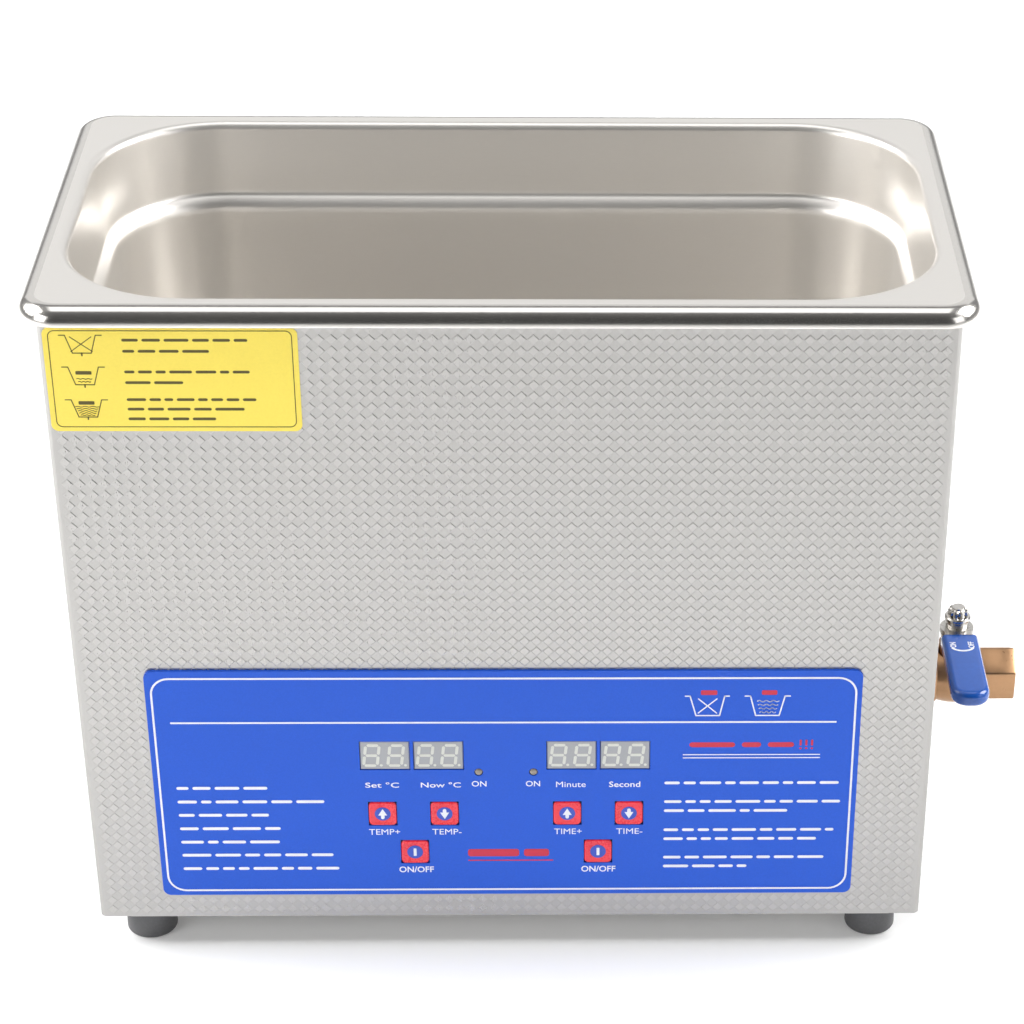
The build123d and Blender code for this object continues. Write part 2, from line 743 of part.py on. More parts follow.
def gland_nut():
    nut = upright(VALVE_X, 0, BOSS_TOP - 2, BOSS_TOP, 4.55)
    nut += extrude(Plane.XY.offset(BOSS_TOP) * Pos(VALVE_X, 0) * hexagon(12.0), amount=3.2)
    return nut - upright(VALVE_X, 0, BOSS_TOP - 3, BOSS_TOP + 4, STEM_RADIUS + 0.1)


def valve_lever():
    """Stamped steel lever: a round hub and a straight arm to the front."""
    top = LEVER_LOW + LEVER_SHEET
    half = LEVER_WIDTH / 2
    hub = upright(VALVE_X, 0, LEVER_LOW, top, LEVER_HUB_RADIUS)
    arm = block(VALVE_X - half, VALVE_X + half, 3.5 - LEVER_REACH, 0, LEVER_LOW, top)
    arm = fillet(arm.edges().filter_by(Axis.Z).group_by(Axis.Y)[0], half - 0.4)
    hole = upright(VALVE_X, 0, LEVER_LOW - 1, top + 1, STEM_RADIUS + 0.03)
    return hub + arm - hole


def lever_grip():
    """Vinyl sleeve over the lever's arm."""
    low = LEVER_LOW + LEVER_SHEET / 2 - GRIP_DEPTH / 2
    half = GRIP_WIDTH / 2
    grip = block(VALVE_X - half, VALVE_X + half, -LEVER_REACH, -GRIP_START, low, low + GRIP_DEPTH)
    grip = fillet(grip.edges().filter_by(Axis.Z).group_by(Axis.Y)[0], half - 0.3)
    grip = fillet(grip.faces().sort_by(Axis.Z)[-1].edges() + grip.faces().sort_by(Axis.Z)[0].edges(), 1.2)
    return grip - valve_lever()


def lever_nut():
    """Tall flanged nut: a round shank, a flange and a narrower hexagon on top."""
    low = LEVER_LOW + LEVER_SHEET
    top = low + LOCK_NUT_HEIGHT
    nut = extrude(Plane.XY.offset(low) * Pos(VALVE_X, 0) * hexagon(7.4), amount=LOCK_NUT_HEIGHT)
    nut = chamfer(nut.faces().sort_by(Axis.Z)[-1].edges(), 0.5)
    nut += upright(VALVE_X, 0, low, low + 4.0, 4.4)
    nut += upright(VALVE_X, 0, low + 3.6, low + 5.2, 5.1)
    return nut - upright(VALVE_X, 0, low - 1, top + 1, 2.45)


# ---- mains inlet and switch --------------------------------------------------------------------
def power_inlet():
    """Three-pin appliance inlet: a flange outside and a socket set into the rear of the shell."""
    flange = extrude(rear_plane(REAR) * Pos(-INLET_X, REAR_Z) * RectangleRounded(50, 23, 4), amount=3)
    flange += block(INLET_X - 13.7, INLET_X + 13.7, REAR - 19, REAR + 1, REAR_Z - 9.9, REAR_Z + 9.9)
    socket = block(INLET_X - 12.2, INLET_X + 12.2, REAR - 16.5, REAR + 4, REAR_Z - 8.2, REAR_Z + 8.2)
    socket = chamfer(socket.edges().filter_by(Axis.Y).group_by(Axis.Z)[0], 4.0)
    body = flange - socket
    for x in (INLET_X - 20, INLET_X + 20):
        body -= fore_and_aft(x, REAR - 1, REAR + 4, REAR_Z, 1.7)
    for x, z in inlet_pin_positions():
        body -= block(x - 1.1, x + 1.1, REAR - 20, REAR - 16, z - 2.1, z + 2.1)
    return body


def inlet_pin_positions():
    return [(INLET_X - 7, REAR_Z - 2), (INLET_X, REAR_Z + 2.2), (INLET_X + 7, REAR_Z - 2)]


def inlet_pins():
    """The three blades, with solder tails behind the socket."""
    return group([block(x - 1, x + 1, REAR - 27, REAR - 4, z - 2, z + 2) for x, z in inlet_pin_positions()])


def inlet_screws():
    screws = []
    for x in (INLET_X - 20, INLET_X + 20):
        head = fore_and_aft(x, REAR + 3, REAR + 4.6, REAR_Z, 2.9)
        head = chamfer(head.edges().group_by(Axis.Y)[-1], 0.6)
        screws.append(head + fore_and_aft(x, REAR - 7, REAR + 3, REAR_Z, 1.5))
    return group(screws)


def switch_housing():
    """The bezel and body of the mains rocker switch."""
    body = extrude(rear_plane(REAR) * Pos(-SWITCH_X, REAR_Z) * RectangleRounded(21.5, 15.5, 1.5), amount=1.8)
    body += block(SWITCH_X - 9.5, SWITCH_X + 9.5, REAR - 18, REAR + 1, REAR_Z - 6.4, REAR_Z + 6.4)
    half = ROCKER_LENGTH / 2 + 0.35
    low = REAR_Z - ROCKER_WELL
    return body - block(SWITCH_X - half, SWITCH_X + half, REAR - 9.5, REAR + 3, low, low + 2 * ROCKER_WELL)


def rocker():
    """The rocker: a block with two faces meeting at a shallow angle, tipped to its off position."""
    half = ROCKER_LENGTH / 2
    height = 4.0
    ridge = 8.0
    points = [
        (0, -2.0, -height),
        (0, ridge - 1.1, -height),
        (0, ridge, 0),
        (0, ridge - 1.1, height),
        (0, -2.0, height),
        (0, -4.4, 0),
    ]
    body = extrude(make_face(Polyline(*points, close=True)), amount=half, dir=(1, 0, 0), both=True)
    body = fillet(body.edges().filter_by(Axis.X).group_by(Axis.Y)[-2], 0.5)
    return Pos(SWITCH_X, ROCKER_PIVOT_Y, REAR_Z) * Rot(-ROCKER_TILT, 0, 0) * body


# ---- write one file for each sub-part ----------------------------------------------------------
def sub_parts():
    parts = {
        "bath_tank": bath_tank(),
        "housing_shell": housing_shell(),
        "base_plate": base_plate(),
        "foot_screws": foot_screws(),
        "foot_nuts": foot_nuts(),
        "base_screws": base_screws(),
        "control_overlay": control_overlay(),
        "instruction_label": instruction_label(),
        "indicator_leds": indicator_leds(),
        "key_switches": key_switches(),
        "control_board": control_board(),
        "board_studs": board_studs(),
        "board_nuts": board_nuts(),
        "generator_board": generator_board(),
        "generator_spacers": generator_spacers(),
        "generator_screws": generator_screws(),
        "transformer_core": transformer_core(),
        "transformer_coil": transformer_coil(),
        "filter_capacitors": filter_capacitors(),
        "heat_sink": heat_sink(),
        "power_transistors": power_transistors(),
        "transducer_horns": transducer_horns(),
        "piezo_rings": piezo_rings(),
        "transducer_electrodes": transducer_electrodes(),
        "transducer_back_masses": transducer_back_masses(),
        "transducer_bolts": transducer_bolts(),
        "heater_pads": heater_pads(),
        "thermal_sensor": thermal_sensor(),
        "drain_socket": drain_socket(),
        "drain_elbow": drain_elbow(),
        "drain_nipple": drain_nipple(),
        "bulkhead_nut": bulkhead_nut(),
        "valve_body": valve_body(),
        "valve_seals": valve_seals(),
        "valve_ball": valve_ball(),
        "valve_stem": valve_stem(),
        "gland_nut": gland_nut(),
        "valve_lever": valve_lever(),
        "lever_grip": lever_grip(),
        "lever_nut": lever_nut(),
        "power_inlet": power_inlet(),
        "inlet_pins": inlet_pins(),
        "inlet_screws": inlet_screws(),
        "switch_housing": switch_housing(),
        "power_rocker": rocker(),
    }
    feet = zip(("front_left", "rear_left", "front_right", "rear_right"), corners(FOOT_X, FOOT_Y))
    for name, (x, y) in feet:
        parts[f"foot_{name}"] = foot(x, y)
    for name, x in display_positions().items():
        parts[name] = display(x)
    for name, (x, z) in key_positions().items():
        parts[name] = key(x, z)
    return parts


def main():
    os.makedirs("parts", exist_ok=True)
    for name, shape in sub_parts().items():
        export_step(shape, f"parts/{name}.step")


if __name__ == "__main__":
    main()
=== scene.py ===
import math
import random

import bmesh
import bpy
from mathutils import Matrix, Vector


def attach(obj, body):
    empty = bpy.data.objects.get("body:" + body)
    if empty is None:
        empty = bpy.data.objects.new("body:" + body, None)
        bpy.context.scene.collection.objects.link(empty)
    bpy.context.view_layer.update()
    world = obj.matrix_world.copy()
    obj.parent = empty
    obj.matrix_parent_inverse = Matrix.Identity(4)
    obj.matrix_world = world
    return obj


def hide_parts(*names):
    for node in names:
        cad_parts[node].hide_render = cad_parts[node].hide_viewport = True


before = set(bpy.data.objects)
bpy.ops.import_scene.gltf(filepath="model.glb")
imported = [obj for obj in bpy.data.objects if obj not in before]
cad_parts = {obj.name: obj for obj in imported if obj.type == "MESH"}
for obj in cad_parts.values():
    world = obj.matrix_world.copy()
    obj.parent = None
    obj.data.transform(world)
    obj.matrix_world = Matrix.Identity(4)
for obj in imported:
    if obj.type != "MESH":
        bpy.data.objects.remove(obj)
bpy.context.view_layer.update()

bl_info = {
    "name": "Ultrasonic cleaner",
    "version": (1, 0, 0),
    "blender": (4, 5, 0),
    "location": "3D View > Sidebar > Cleaner",
    "description": "Builds the looks of a bench-top ultrasonic cleaner round its fixed frame",
    "category": "Object",
}

MM = 0.001

# ---- bath, millimetres ---------------------------------------------------------------------------
BATH_CENTRE = (106.0, 31.0)     # centres of the bath's corner arcs
BATH_CORNER = 45.0
RIM_CENTRE = (148.5, 74.0)      # centres of the rim's corner arcs
RIM_CORNER = 14.0
RIM_TOP = 268.0
RIM_ROLL = 5.8
MOUTH_ROLL = 3.0
PAN_SHEET = 1.0
BATH_FLOOR = 118.0
FLOOR_RADIUS = 15.0
FLOOR_INSET = 12.0
DRAIN_X = 104.0
DRAIN_RADIUS = 7.5
WALL_STEP = (                   # the stacking shoulder up the wall, as (inset, height)
    (6.72, 231.0), (6.55, 234.4), (6.3, 236.3), (5.8, 237.6), (5.0, 238.7), (3.7, 240.0), (3.1, 240.5),
    (2.75, 241.1), (2.6, 242.0), (2.45, 243.6),
)
WALL_TOP = (0.08, 264.2)        # where the wall meets the mouth's round
FLAT_MARGIN = 0.5               # from each round of the rim to the ring that bounds its flat top
FLOOR_MARGIN = 1.0              # from the floor's round to the ring that bounds the flat floor
RIM_CURL = (                    # the rim's lower edge, as (corner radius, height)
    (14.0, 262.0), (13.85, 261.7), (13.6, 261.45), (13.4, 261.4), (13.2, 261.5), (13.0, 261.7),
)

# ---- housing, millimetres ------------------------------------------------------------------------
SHELL_HALF_LENGTH = 156.0
SHELL_HALF_DEPTH = 83.0
SHELL_CORNER = 2.4
SHELL_LOW = 14.0
SHELL_HIGH = 267.0
SHELL_SHEET = 0.8
SHELL_TURN_IN = 20.0
FLAT_X = SHELL_HALF_LENGTH - SHELL_CORNER
FLAT_Y = SHELL_HALF_DEPTH - SHELL_CORNER
BEND = SHELL_CORNER * math.pi / 2
BEND_STARTS = (FLAT_X, FLAT_X + BEND + 2 * FLAT_Y)      # along the unrolled sheet, from the front's middle
BEND_STEPS = 5
KEY_WINDOW = (5.55, 5.55)       # half width and half height of each opening
DISPLAY_WINDOW = (19.3, 6.45)
VALVE_WINDOW = (8.6, 8.6)
INLET_WINDOW = (14.0, 10.2)
SWITCH_WINDOW = (9.8, 6.7)
FRONT = -83.0
PANEL_FACE = -84.2
LABEL_FACE = -83.25
DISPLAY_FACE = -83.9

TEMPERATURE_X = -35.6
TIME_X = 33.0
DISPLAY_OFFSET = 9.85
DISPLAY_Z = 87.7
KEY_OFFSET = 11.5
KEY_Z = 61.9
SWITCH_KEY_Z = 44.5
LED_X = (-11.1, 9.1)
LED_Z = 80.4
LED_RADIUS = 1.4
LED_BACK = -1.0                 # heights of a lamp in front of the housing's sheet
LED_SIDE = 0.9
LED_DOME = 0.55

VALVE_X = 174.2
VALVE_Z = 70.5
VALVE_START = 158.0
VALVE_END = 197.6
INLET_X = 104.0
SWITCH_X = 58.0
REAR_Z = 48.0


def srgb(red, green, blue):
    """A colour given as 0 to 255 in sRGB, as the linear values that the shaders take."""
    def linear(value):
        value = value / 255
        return value / 12.92 if value <= 0.04045 else ((value + 0.055) / 1.055) ** 2.4
    return (linear(red), linear(green), linear(blue), 1.0)


# ---- settings ------------------------------------------------------------------------------------
def length_setting(name, description, default):
    return bpy.props.FloatProperty(
        name=name, description=description, default=default, min=0.0, unit="LENGTH", precision=5
    )


def colour_setting(name, description, default):
    return bpy.props.FloatVectorProperty(
        name=name, description=description, default=default, size=4, min=0.0, max=1.0, subtype="COLOR"
    )


class CleanerSizes(bpy.types.PropertyGroup):
    """Sizes that a user may change."""

    cell: length_setting("Emboss cell", "Side of one square of the embossed pattern", 3.0 * MM)
    emboss: length_setting("Emboss height", "How far the raised squares stand above the others", 0.11 * MM)
    emboss_slope: length_setting("Emboss slope", "Width of the slope round each raised square", 0.25 * MM)
    print_raise: length_setting("Print thickness", "Thickness of the panel's and the label's ink", 0.05 * MM)
    corner_steps: bpy.props.IntProperty(
        name="Corner steps", description="Divisions of each round corner of the bath", default=20,
        min=4, max=48,
    )


class CleanerColours(bpy.types.PropertyGroup):
    """Colours that a user may change."""

    panel: colour_setting("Panel", "Blue of the control panel's film", srgb(42, 95, 214))
    key: colour_setting("Key", "Red of the keys", srgb(238, 30, 52))
    label: colour_setting("Label", "Yellow of the instruction label", srgb(255, 232, 101))
    grip: colour_setting("Grip", "Blue of the valve lever's sleeve", srgb(22, 84, 176))
    brass: colour_setting("Brass", "Colour of the drain valve's body", srgb(178, 140, 106))
    pan: colour_setting("Bath steel", "Colour of the satin stainless pan", (0.77, 0.745, 0.71, 1.0))
    sheet: colour_setting("Sheet steel", "Colour of the embossed stainless sheet", (0.445, 0.436, 0.422, 1.0))


# ---- materials -----------------------------------------------------------------------------------
GRAIN_SUM = (0.7, 1.3)          # the sum of both noises that gives all dark and no dark
MIX_FACTOR, MIX_FIRST, MIX_SECOND, MIX_COLOUR = 0, 6, 7, 2      # the Mix node's sockets for colours


def surface_grain():
    """Shared grain: a fine noise and a broad one vary a colour and a roughness, and give a height."""
    group = bpy.data.node_groups.get("surface_grain")
    if group:
        return group
    group = bpy.data.node_groups.new("surface_grain", "ShaderNodeTree")
    face = group.interface
    face.new_socket(name="Vector", in_out="INPUT", socket_type="NodeSocketVector")
    for name in ("Scale", "Broad Scale", "Roughness", "Roughness Spread"):
        face.new_socket(name=name, in_out="INPUT", socket_type="NodeSocketFloat")
    for name in ("Colour", "Dark Colour"):
        face.new_socket(name=name, in_out="INPUT", socket_type="NodeSocketColor")
    face.new_socket(name="Colour", in_out="OUTPUT", socket_type="NodeSocketColor")
    for name in ("Roughness", "Height"):
        face.new_socket(name=name, in_out="OUTPUT", socket_type="NodeSocketFloat")
    nodes = group.nodes
    links = group.links
    given = nodes.new("NodeGroupInput")
    result = nodes.new("NodeGroupOutput")
    fine = nodes.new("ShaderNodeTexNoise")
    fine.inputs["Detail"].default_value = 3.0
    broad = nodes.new("ShaderNodeTexNoise")
    broad.inputs["Detail"].default_value = 2.0
    links.new(given.outputs["Vector"], fine.inputs["Vector"])
    links.new(given.outputs["Scale"], fine.inputs["Scale"])
    links.new(given.outputs["Vector"], broad.inputs["Vector"])
    links.new(given.outputs["Broad Scale"], broad.inputs["Scale"])
    both = nodes.new("ShaderNodeMath")
    both.operation = "ADD"
    links.new(fine.outputs["Fac"], both.inputs[0])
    links.new(broad.outputs["Fac"], both.inputs[1])
    share = nodes.new("ShaderNodeMapRange")
    share.inputs["From Min"].default_value = GRAIN_SUM[0]
    share.inputs["From Max"].default_value = GRAIN_SUM[1]
    links.new(both.outputs[0], share.inputs["Value"])
    mix = nodes.new("ShaderNodeMix")
    mix.data_type = "RGBA"
    links.new(share.outputs["Result"], mix.inputs[MIX_FACTOR])
    links.new(given.outputs["Dark Colour"], mix.inputs[MIX_FIRST])
    links.new(given.outputs["Colour"], mix.inputs[MIX_SECOND])
    rough = nodes.new("ShaderNodeMath")
    rough.operation = "MULTIPLY_ADD"
    links.new(share.outputs["Result"], rough.inputs[0])
    links.new(given.outputs["Roughness Spread"], rough.inputs[1])
    links.new(given.outputs["Roughness"], rough.inputs[2])
    links.new(mix.outputs[MIX_COLOUR], result.inputs["Colour"])
    links.new(rough.outputs[0], result.inputs["Roughness"])
    links.new(fine.outputs["Fac"], result.inputs["Height"])
    return group


def finish_material(
    name, colour, dark=0.85, roughness=0.4, spread=0.1, metallic=0.0, scale=900.0, broad=25.0,
    stretch=(1.0, 1.0, 1.0), bump=0.15, depth=0.05, coat=0.0, coat_roughness=0.1, specular=0.5,
):
    """A finish whose colour, roughness and fine relief all come from the shared grain."""
    material = bpy.data.materials.get(name)
    if material:
        return material
    material = bpy.data.materials.new(name)
    material.use_nodes = True
    nodes = material.node_tree.nodes
    links = material.node_tree.links
    shader = nodes["Principled BSDF"]
    shader.inputs["Metallic"].default_value = metallic
    shader.inputs["Coat Weight"].default_value = coat
    shader.inputs["Coat Roughness"].default_value = coat_roughness
    shader.inputs["Specular IOR Level"].default_value = specular
    place = nodes.new("ShaderNodeTexCoord")
    mapping = nodes.new("ShaderNodeMapping")
    mapping.inputs["Scale"].default_value = stretch
    grain = nodes.new("ShaderNodeGroup")
    grain.node_tree = surface_grain()
    grain.inputs["Scale"].default_value = scale
    grain.inputs["Broad Scale"].default_value = broad
    grain.inputs["Roughness"].default_value = roughness - spread / 2
    grain.inputs["Roughness Spread"].default_value = spread
    grain.inputs["Colour"].default_value = colour
    grain.inputs["Dark Colour"].default_value = (*(dark * value for value in colour[:3]), 1.0)
    relief = nodes.new("ShaderNodeBump")
    relief.inputs["Strength"].default_value = bump
    relief.inputs["Distance"].default_value = depth * MM
    links.new(place.outputs["Object"], mapping.inputs["Vector"])
    links.new(mapping.outputs["Vector"], grain.inputs["Vector"])
    links.new(grain.outputs["Colour"], shader.inputs["Base Color"])
    links.new(grain.outputs["Roughness"], shader.inputs["Roughness"])
    links.new(grain.outputs["Height"], relief.inputs["Height"])
    links.new(relief.outputs["Normal"], shader.inputs["Normal"])
    return material


def satin_steel():
    """Satin stainless sheet of the bath, drawn along its length."""
    return finish_material(
        "satin_stainless", bpy.context.scene.cleaner_colours.pan, dark=0.98, roughness=0.34, spread=0.04,
        metallic=0.85, scale=2400.0, broad=14.0, stretch=(0.1, 1.0, 1.0), bump=0.02, depth=0.002,
    )


def polished_edge():
    """The rim's rolled edge, buffed brighter than the rest of the pan."""
    return finish_material(
        "polished_rim_edge", bpy.context.scene.cleaner_colours.pan, dark=0.96, roughness=0.2, spread=0.06,
        metallic=1.0, scale=1800.0, broad=30.0, stretch=(0.2, 1.0, 1.0), bump=0.03, depth=0.003,
    )


def embossed_steel(name, share, roughness):
    """Embossed stainless sheet; the share scales its colour, so the copy for the raised squares is painted
    lighter as painted highlight and the copy for the sunk ones darker as painted shade.
    """
    colour = bpy.context.scene.cleaner_colours.sheet
    return finish_material(
        name, (*(min(1.0, share * value) for value in colour[:3]), 1.0), dark=0.94, roughness=roughness,
        spread=0.06, metallic=1.0, scale=2600.0, broad=14.0, stretch=(1.0, 1.0, 0.2), bump=0.05, depth=0.004,
    )


def metal(name, colour, dark, roughness, spread, scale, **more):
    """A bare or plated metal, its colour given as red, green and blue."""
    return finish_material(name, (*colour, 1.0), dark, roughness, spread, metallic=1.0, scale=scale, **more)


def print_ink(name, colour, dark, roughness=0.45):
    """Screen-printed ink, its colour given as 0 to 255 in sRGB."""
    return finish_material(name, srgb(*colour), dark=dark, roughness=roughness, scale=1500.0, bump=0.05)


def white_print():
    return print_ink("white_ink", (238, 240, 246), 0.93)


def moulded_black():
    """Black moulded plastic of the rear fittings and of the parts on the boards."""
    return finish_material(
        "moulded_black", srgb(34, 34, 36), dark=0.75, roughness=0.42, spread=0.14, scale=1400.0, broad=60.0,
        bump=0.3, depth=0.04,
    )


def bright_plate():
    """Bright plating of the valve's gland nut, lock nut, stem and ball."""
    return metal("bright_plate", (0.66, 0.64, 0.61), 0.85, 0.16, 0.1, 700.0, bump=0.06)


def dress(node, material):
    """Gives a node of the frame its finish."""
    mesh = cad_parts[node].data
    mesh.materials.clear()
    mesh.materials.append(material)


# ---- mesh helpers --------------------------------------------------------------------------------
def settle(name, bm, materials, body, replaces=(), sharp=40.0):
    """Turns a bmesh in millimetres into a piece that rides on a body of the frame."""
    bmesh.ops.scale(bm, vec=(MM, MM, MM), verts=bm.verts)
    mesh = bpy.data.meshes.new(name)
    bm.to_mesh(mesh)
    bm.free()
    for material in materials:
        mesh.materials.append(material)
    mesh.shade_smooth()
    mesh.set_sharp_from_angle(angle=math.radians(sharp))
    piece = bpy.data.objects.new(name, mesh)
    bpy.context.scene.collection.objects.link(piece)
    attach(piece, body)
    if replaces:
        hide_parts(*replaces)
    return piece


def join(target, source, material=0):
    """Adds one bmesh to another as an island with its own material, and frees it."""
    mesh = bpy.data.meshes.new("island")
    source.to_mesh(mesh)
    source.free()
    mark = len(target.faces)
    target.from_mesh(mesh)
    bpy.data.meshes.remove(mesh)
    target.faces.ensure_lookup_table()
    for face in target.faces[mark:]:
        face.material_index = material


def edges_in(result):
    """The edges that an operator made."""
    return [item for item in result["geom"] if isinstance(item, bmesh.types.BMEdge)]


def verts_in(result):
    """The vertices that an operator made."""
    return [item for item in result["geom"] if isinstance(item, bmesh.types.BMVert)]


def place_ring(verts, now, then):
    """Moves a ring of a rounded outline from one (centre x, centre y, corner radius, z) to another."""
    for vert in verts:
        side_x = math.copysign(1.0, vert.co.x)
        side_y = math.copysign(1.0, vert.co.y)
        along = (vert.co.x - side_x * now[0]) / now[2]
        across = (vert.co.y - side_y * now[1]) / now[2]
        vert.co = (side_x * then[0] + along * then[2], side_y * then[1] + across * then[2], then[3])


def swept_outline(rings, steps=6, start_cap=True, end_cap=True):
    """A skin through rounded outlines, each (centre x, centre y, corner radius, z), and its two end loops."""
    bm = bmesh.new()
    corners = bmesh.ops.create_grid(bm, x_segments=1, y_segments=1, size=1.0)["verts"]
    bmesh.ops.bevel(            # a quarter of each end of a side of 2 makes corners of radius 0.5
        bm, geom=corners, offset=25.0, offset_type="PERCENT", affect="VERTICES", segments=steps, profile=0.5,
        material=-1,
    )
    bmesh.ops.delete(bm, geom=list(bm.faces), context="FACES_ONLY")
    now = (0.5, 0.5, 0.5, 0.0)
    place_ring(bm.verts, now, rings[0])
    now = rings[0]
    first = list(bm.edges)
    last = first
    for ring in rings[1:]:
        made = bmesh.ops.extrude_edge_only(bm, edges=last)
        place_ring(verts_in(made), now, ring)
        moved = set(verts_in(made))
        last = [edge for edge in edges_in(made) if all(vert in moved for vert in edge.verts)]
        now = ring
    if start_cap:
        bmesh.ops.contextual_create(bm, geom=first)
    if end_cap:
        bmesh.ops.contextual_create(bm, geom=last)
    return bm, first, last


def tidy_solid(bm, distance=1e-4):
    """Merges what lies closer than a distance and turns all faces outwards."""
    bmesh.ops.remove_doubles(bm, verts=bm.verts, dist=distance)
    bmesh.ops.recalc_face_normals(bm, faces=bm.faces)
    return bm


def turned(profile, steps=48, place=Matrix.Identity(4)):
    """A solid of revolution about Z through points given as (radius, height)."""
    bm = bmesh.new()
    verts = [bm.verts.new((radius, 0.0, height)) for radius, height in profile]
    edges = [bm.edges.new(pair) for pair in zip(verts, verts[1:])]
    bmesh.ops.spin(
        bm, geom=verts + edges, cent=(0, 0, 0), axis=(0, 0, 1), dvec=(0, 0, 0), angle=math.tau, steps=steps,
        use_merge=True,
    )
    tidy_solid(bm)
    bmesh.ops.transform(bm, matrix=place, verts=bm.verts)
    return bm


def rounded_slab(half_x, half_y, corner, low, high, steps=4):
    """A slab with rounded corners, centred on the origin."""
    centre = (half_x - corner, half_y - corner)
    bm, _, _ = swept_outline([(*centre, corner, low), (*centre, corner, high)], steps)
    return tidy_solid(bm, 1e-5)


def shift(bm, x=0.0, y=0.0, z=0.0, turn=0.0):
    """Turns a bmesh about Z and then moves it."""
    matrix = Matrix.Translation((x, y, z)) @ Matrix.Rotation(turn, 4, "Z")
    bmesh.ops.transform(bm, matrix=matrix, verts=bm.verts)
    return bm


def face_front(bm, depth):
    """Stands a flat drawing up at a depth: its Y becomes the height and its Z looks to the front."""
    matrix = Matrix.Translation((0, depth, 0)) @ Matrix.Rotation(math.pi / 2, 4, "X")
    bmesh.ops.transform(bm, matrix=matrix, verts=bm.verts)
    return bm


# ---- drawing on flat faces -----------------------------------------------------------------------
PRINT_SINK = 0.02               # how far the print's underside lies inside the film
LETTER_HALF = 0.01              # half the thickness that letters are first made with
WORD_SPAN = (1.4, 4.2)          # the shortest and the longest bar of a written line, times its height
WORD_GAP = 0.55
WORD_REST = 1.8                 # what is left of a line below this joins its last bar
WORD_EDGES = (0.24, 0.72)       # lower and upper edge of a bar above its base line


def ink():
    """Thickness of the print in millimetres."""
    return bpy.context.scene.cleaner_sizes.print_raise / MM


def bar(bm, x0, x1, y0, y1, corner=0.2, low=-PRINT_SINK, high=None, material=0):
    """A thin rectangle of print with round corners."""
    corner = min(corner, abs(x1 - x0) / 2.05, abs(y1 - y0) / 2.05)
    high = ink() if high is None else high
    slab = rounded_slab(abs(x1 - x0) / 2, abs(y1 - y0) / 2, corner, low, high, steps=2)
    join(bm, shift(slab, (x0 + x1) / 2, (y0 + y1) / 2), material)


def stroke(bm, x0, y0, x1, y1, width, low=-PRINT_SINK, high=None, material=0):
    """A straight line of print with round ends."""
    length = math.hypot(x1 - x0, y1 - y0)
    high = ink() if high is None else high
    slab = rounded_slab((length + width) / 2, width / 2, width / 2.1, low, high, steps=3)
    join(bm, shift(slab, (x0 + x1) / 2, (y0 + y1) / 2, 0.0, math.atan2(y1 - y0, x1 - x0)), material)


def open_frame(bm, x0, x1, y0, y1, corner, width):
    """A closed line of print along a rounded rectangle."""
    centre = ((x1 - x0) / 2 - corner, (y1 - y0) / 2 - corner)
    section = ((0, -PRINT_SINK), (0, ink()), (width, ink()), (width, -PRINT_SINK), (0, -PRINT_SINK))
    loop, _, _ = swept_outline([(*centre, corner - inset, z) for inset, z in section], 8, False, False)
    join(bm, shift(tidy_solid(loop, 1e-5), (x0 + x1) / 2, (y0 + y1) / 2))


def words(bm, text, x0, x1, y0, height, bold):
    """A generic word as a thin solid, fitted between x0 and x1 on a base line."""
    curve = bpy.data.curves.new("words", "FONT")
    curve.body = text
    curve.size = 1.0
    curve.extrude = LETTER_HALF
    curve.offset = 0.0 if "M" in text else bold  # a thickened capital M folds over itself
    curve.resolution_u = 3
    holder = bpy.data.objects.new("words", curve)
    bpy.context.scene.collection.objects.link(holder)
    bpy.context.view_layer.update()
    mesh = bpy.data.meshes.new_from_object(holder.evaluated_get(bpy.context.evaluated_depsgraph_get()))
    bpy.data.objects.remove(holder)
    bpy.data.curves.remove(curve)
    letters = bmesh.new()
    letters.from_mesh(mesh)
    bpy.data.meshes.remove(mesh)
    tidy_solid(letters, 1e-5)
    left = min(vert.co.x for vert in letters.verts)
    right = max(vert.co.x for vert in letters.verts)
    top = max(vert.co.y for vert in letters.verts)
    wide = (x1 - x0) / (right - left)
    tall = height / top
    thick = (ink() + PRINT_SINK) / (2 * LETTER_HALF)
    bmesh.ops.scale(letters, vec=(wide, tall, thick), verts=letters.verts)
    join(bm, shift(letters, x0 - left * wide, y0, (ink() - PRINT_SINK) / 2))


def word_bars(bm, chance, x0, x1, base, height, material=0):
    """A line of writing reduced to plain bars, one for each word."""
    low, high = (base + edge * height for edge in WORD_EDGES)
    x = x0
    while x < x1 - height:
        width = min(chance.uniform(*WORD_SPAN) * height, x1 - x)
        if x1 - (x + width) < WORD_REST * height:
            width = x1 - x
        bar(bm, x, x + width, low, high, WORD_EDGES[0] * height, material=material)
        x += width + WORD_GAP * height


def basin(bm, left, right, foot_left, foot_right, rim, foot, stub, width):
    """An open basin drawn with five strokes."""
    points = (
        (left, rim), (left + stub, rim), (foot_left, foot),
        (foot_right, foot), (right - stub, rim), (right, rim),
    )
    for start, end in zip(points, points[1:]):
        stroke(bm, *start, *end, width)


def cross(bm, x0, x1, low, high, width):
    """Two strokes that cross out a drawing."""
    stroke(bm, x0, high, x1, low, width)
    stroke(bm, x1, high, x0, low, width)


def ripple(bm, x0, x1, y, height, width, waves=3):
    """A wavy water line made of short strokes."""
    steps = waves * 6
    points = [
        (x0 + (x1 - x0) * step / steps, y + height * math.sin(math.tau * waves * step / steps))
        for step in range(steps + 1)
    ]
    for start, end in zip(points, points[1:]):
        stroke(bm, *start, *end, width)


# ---- bath ----------------------------------------------------------------------------------------
def quarter(steps=8):
    """The angles of a quarter turn."""
    return [math.pi / 2 * step / steps for step in range(steps + 1)]


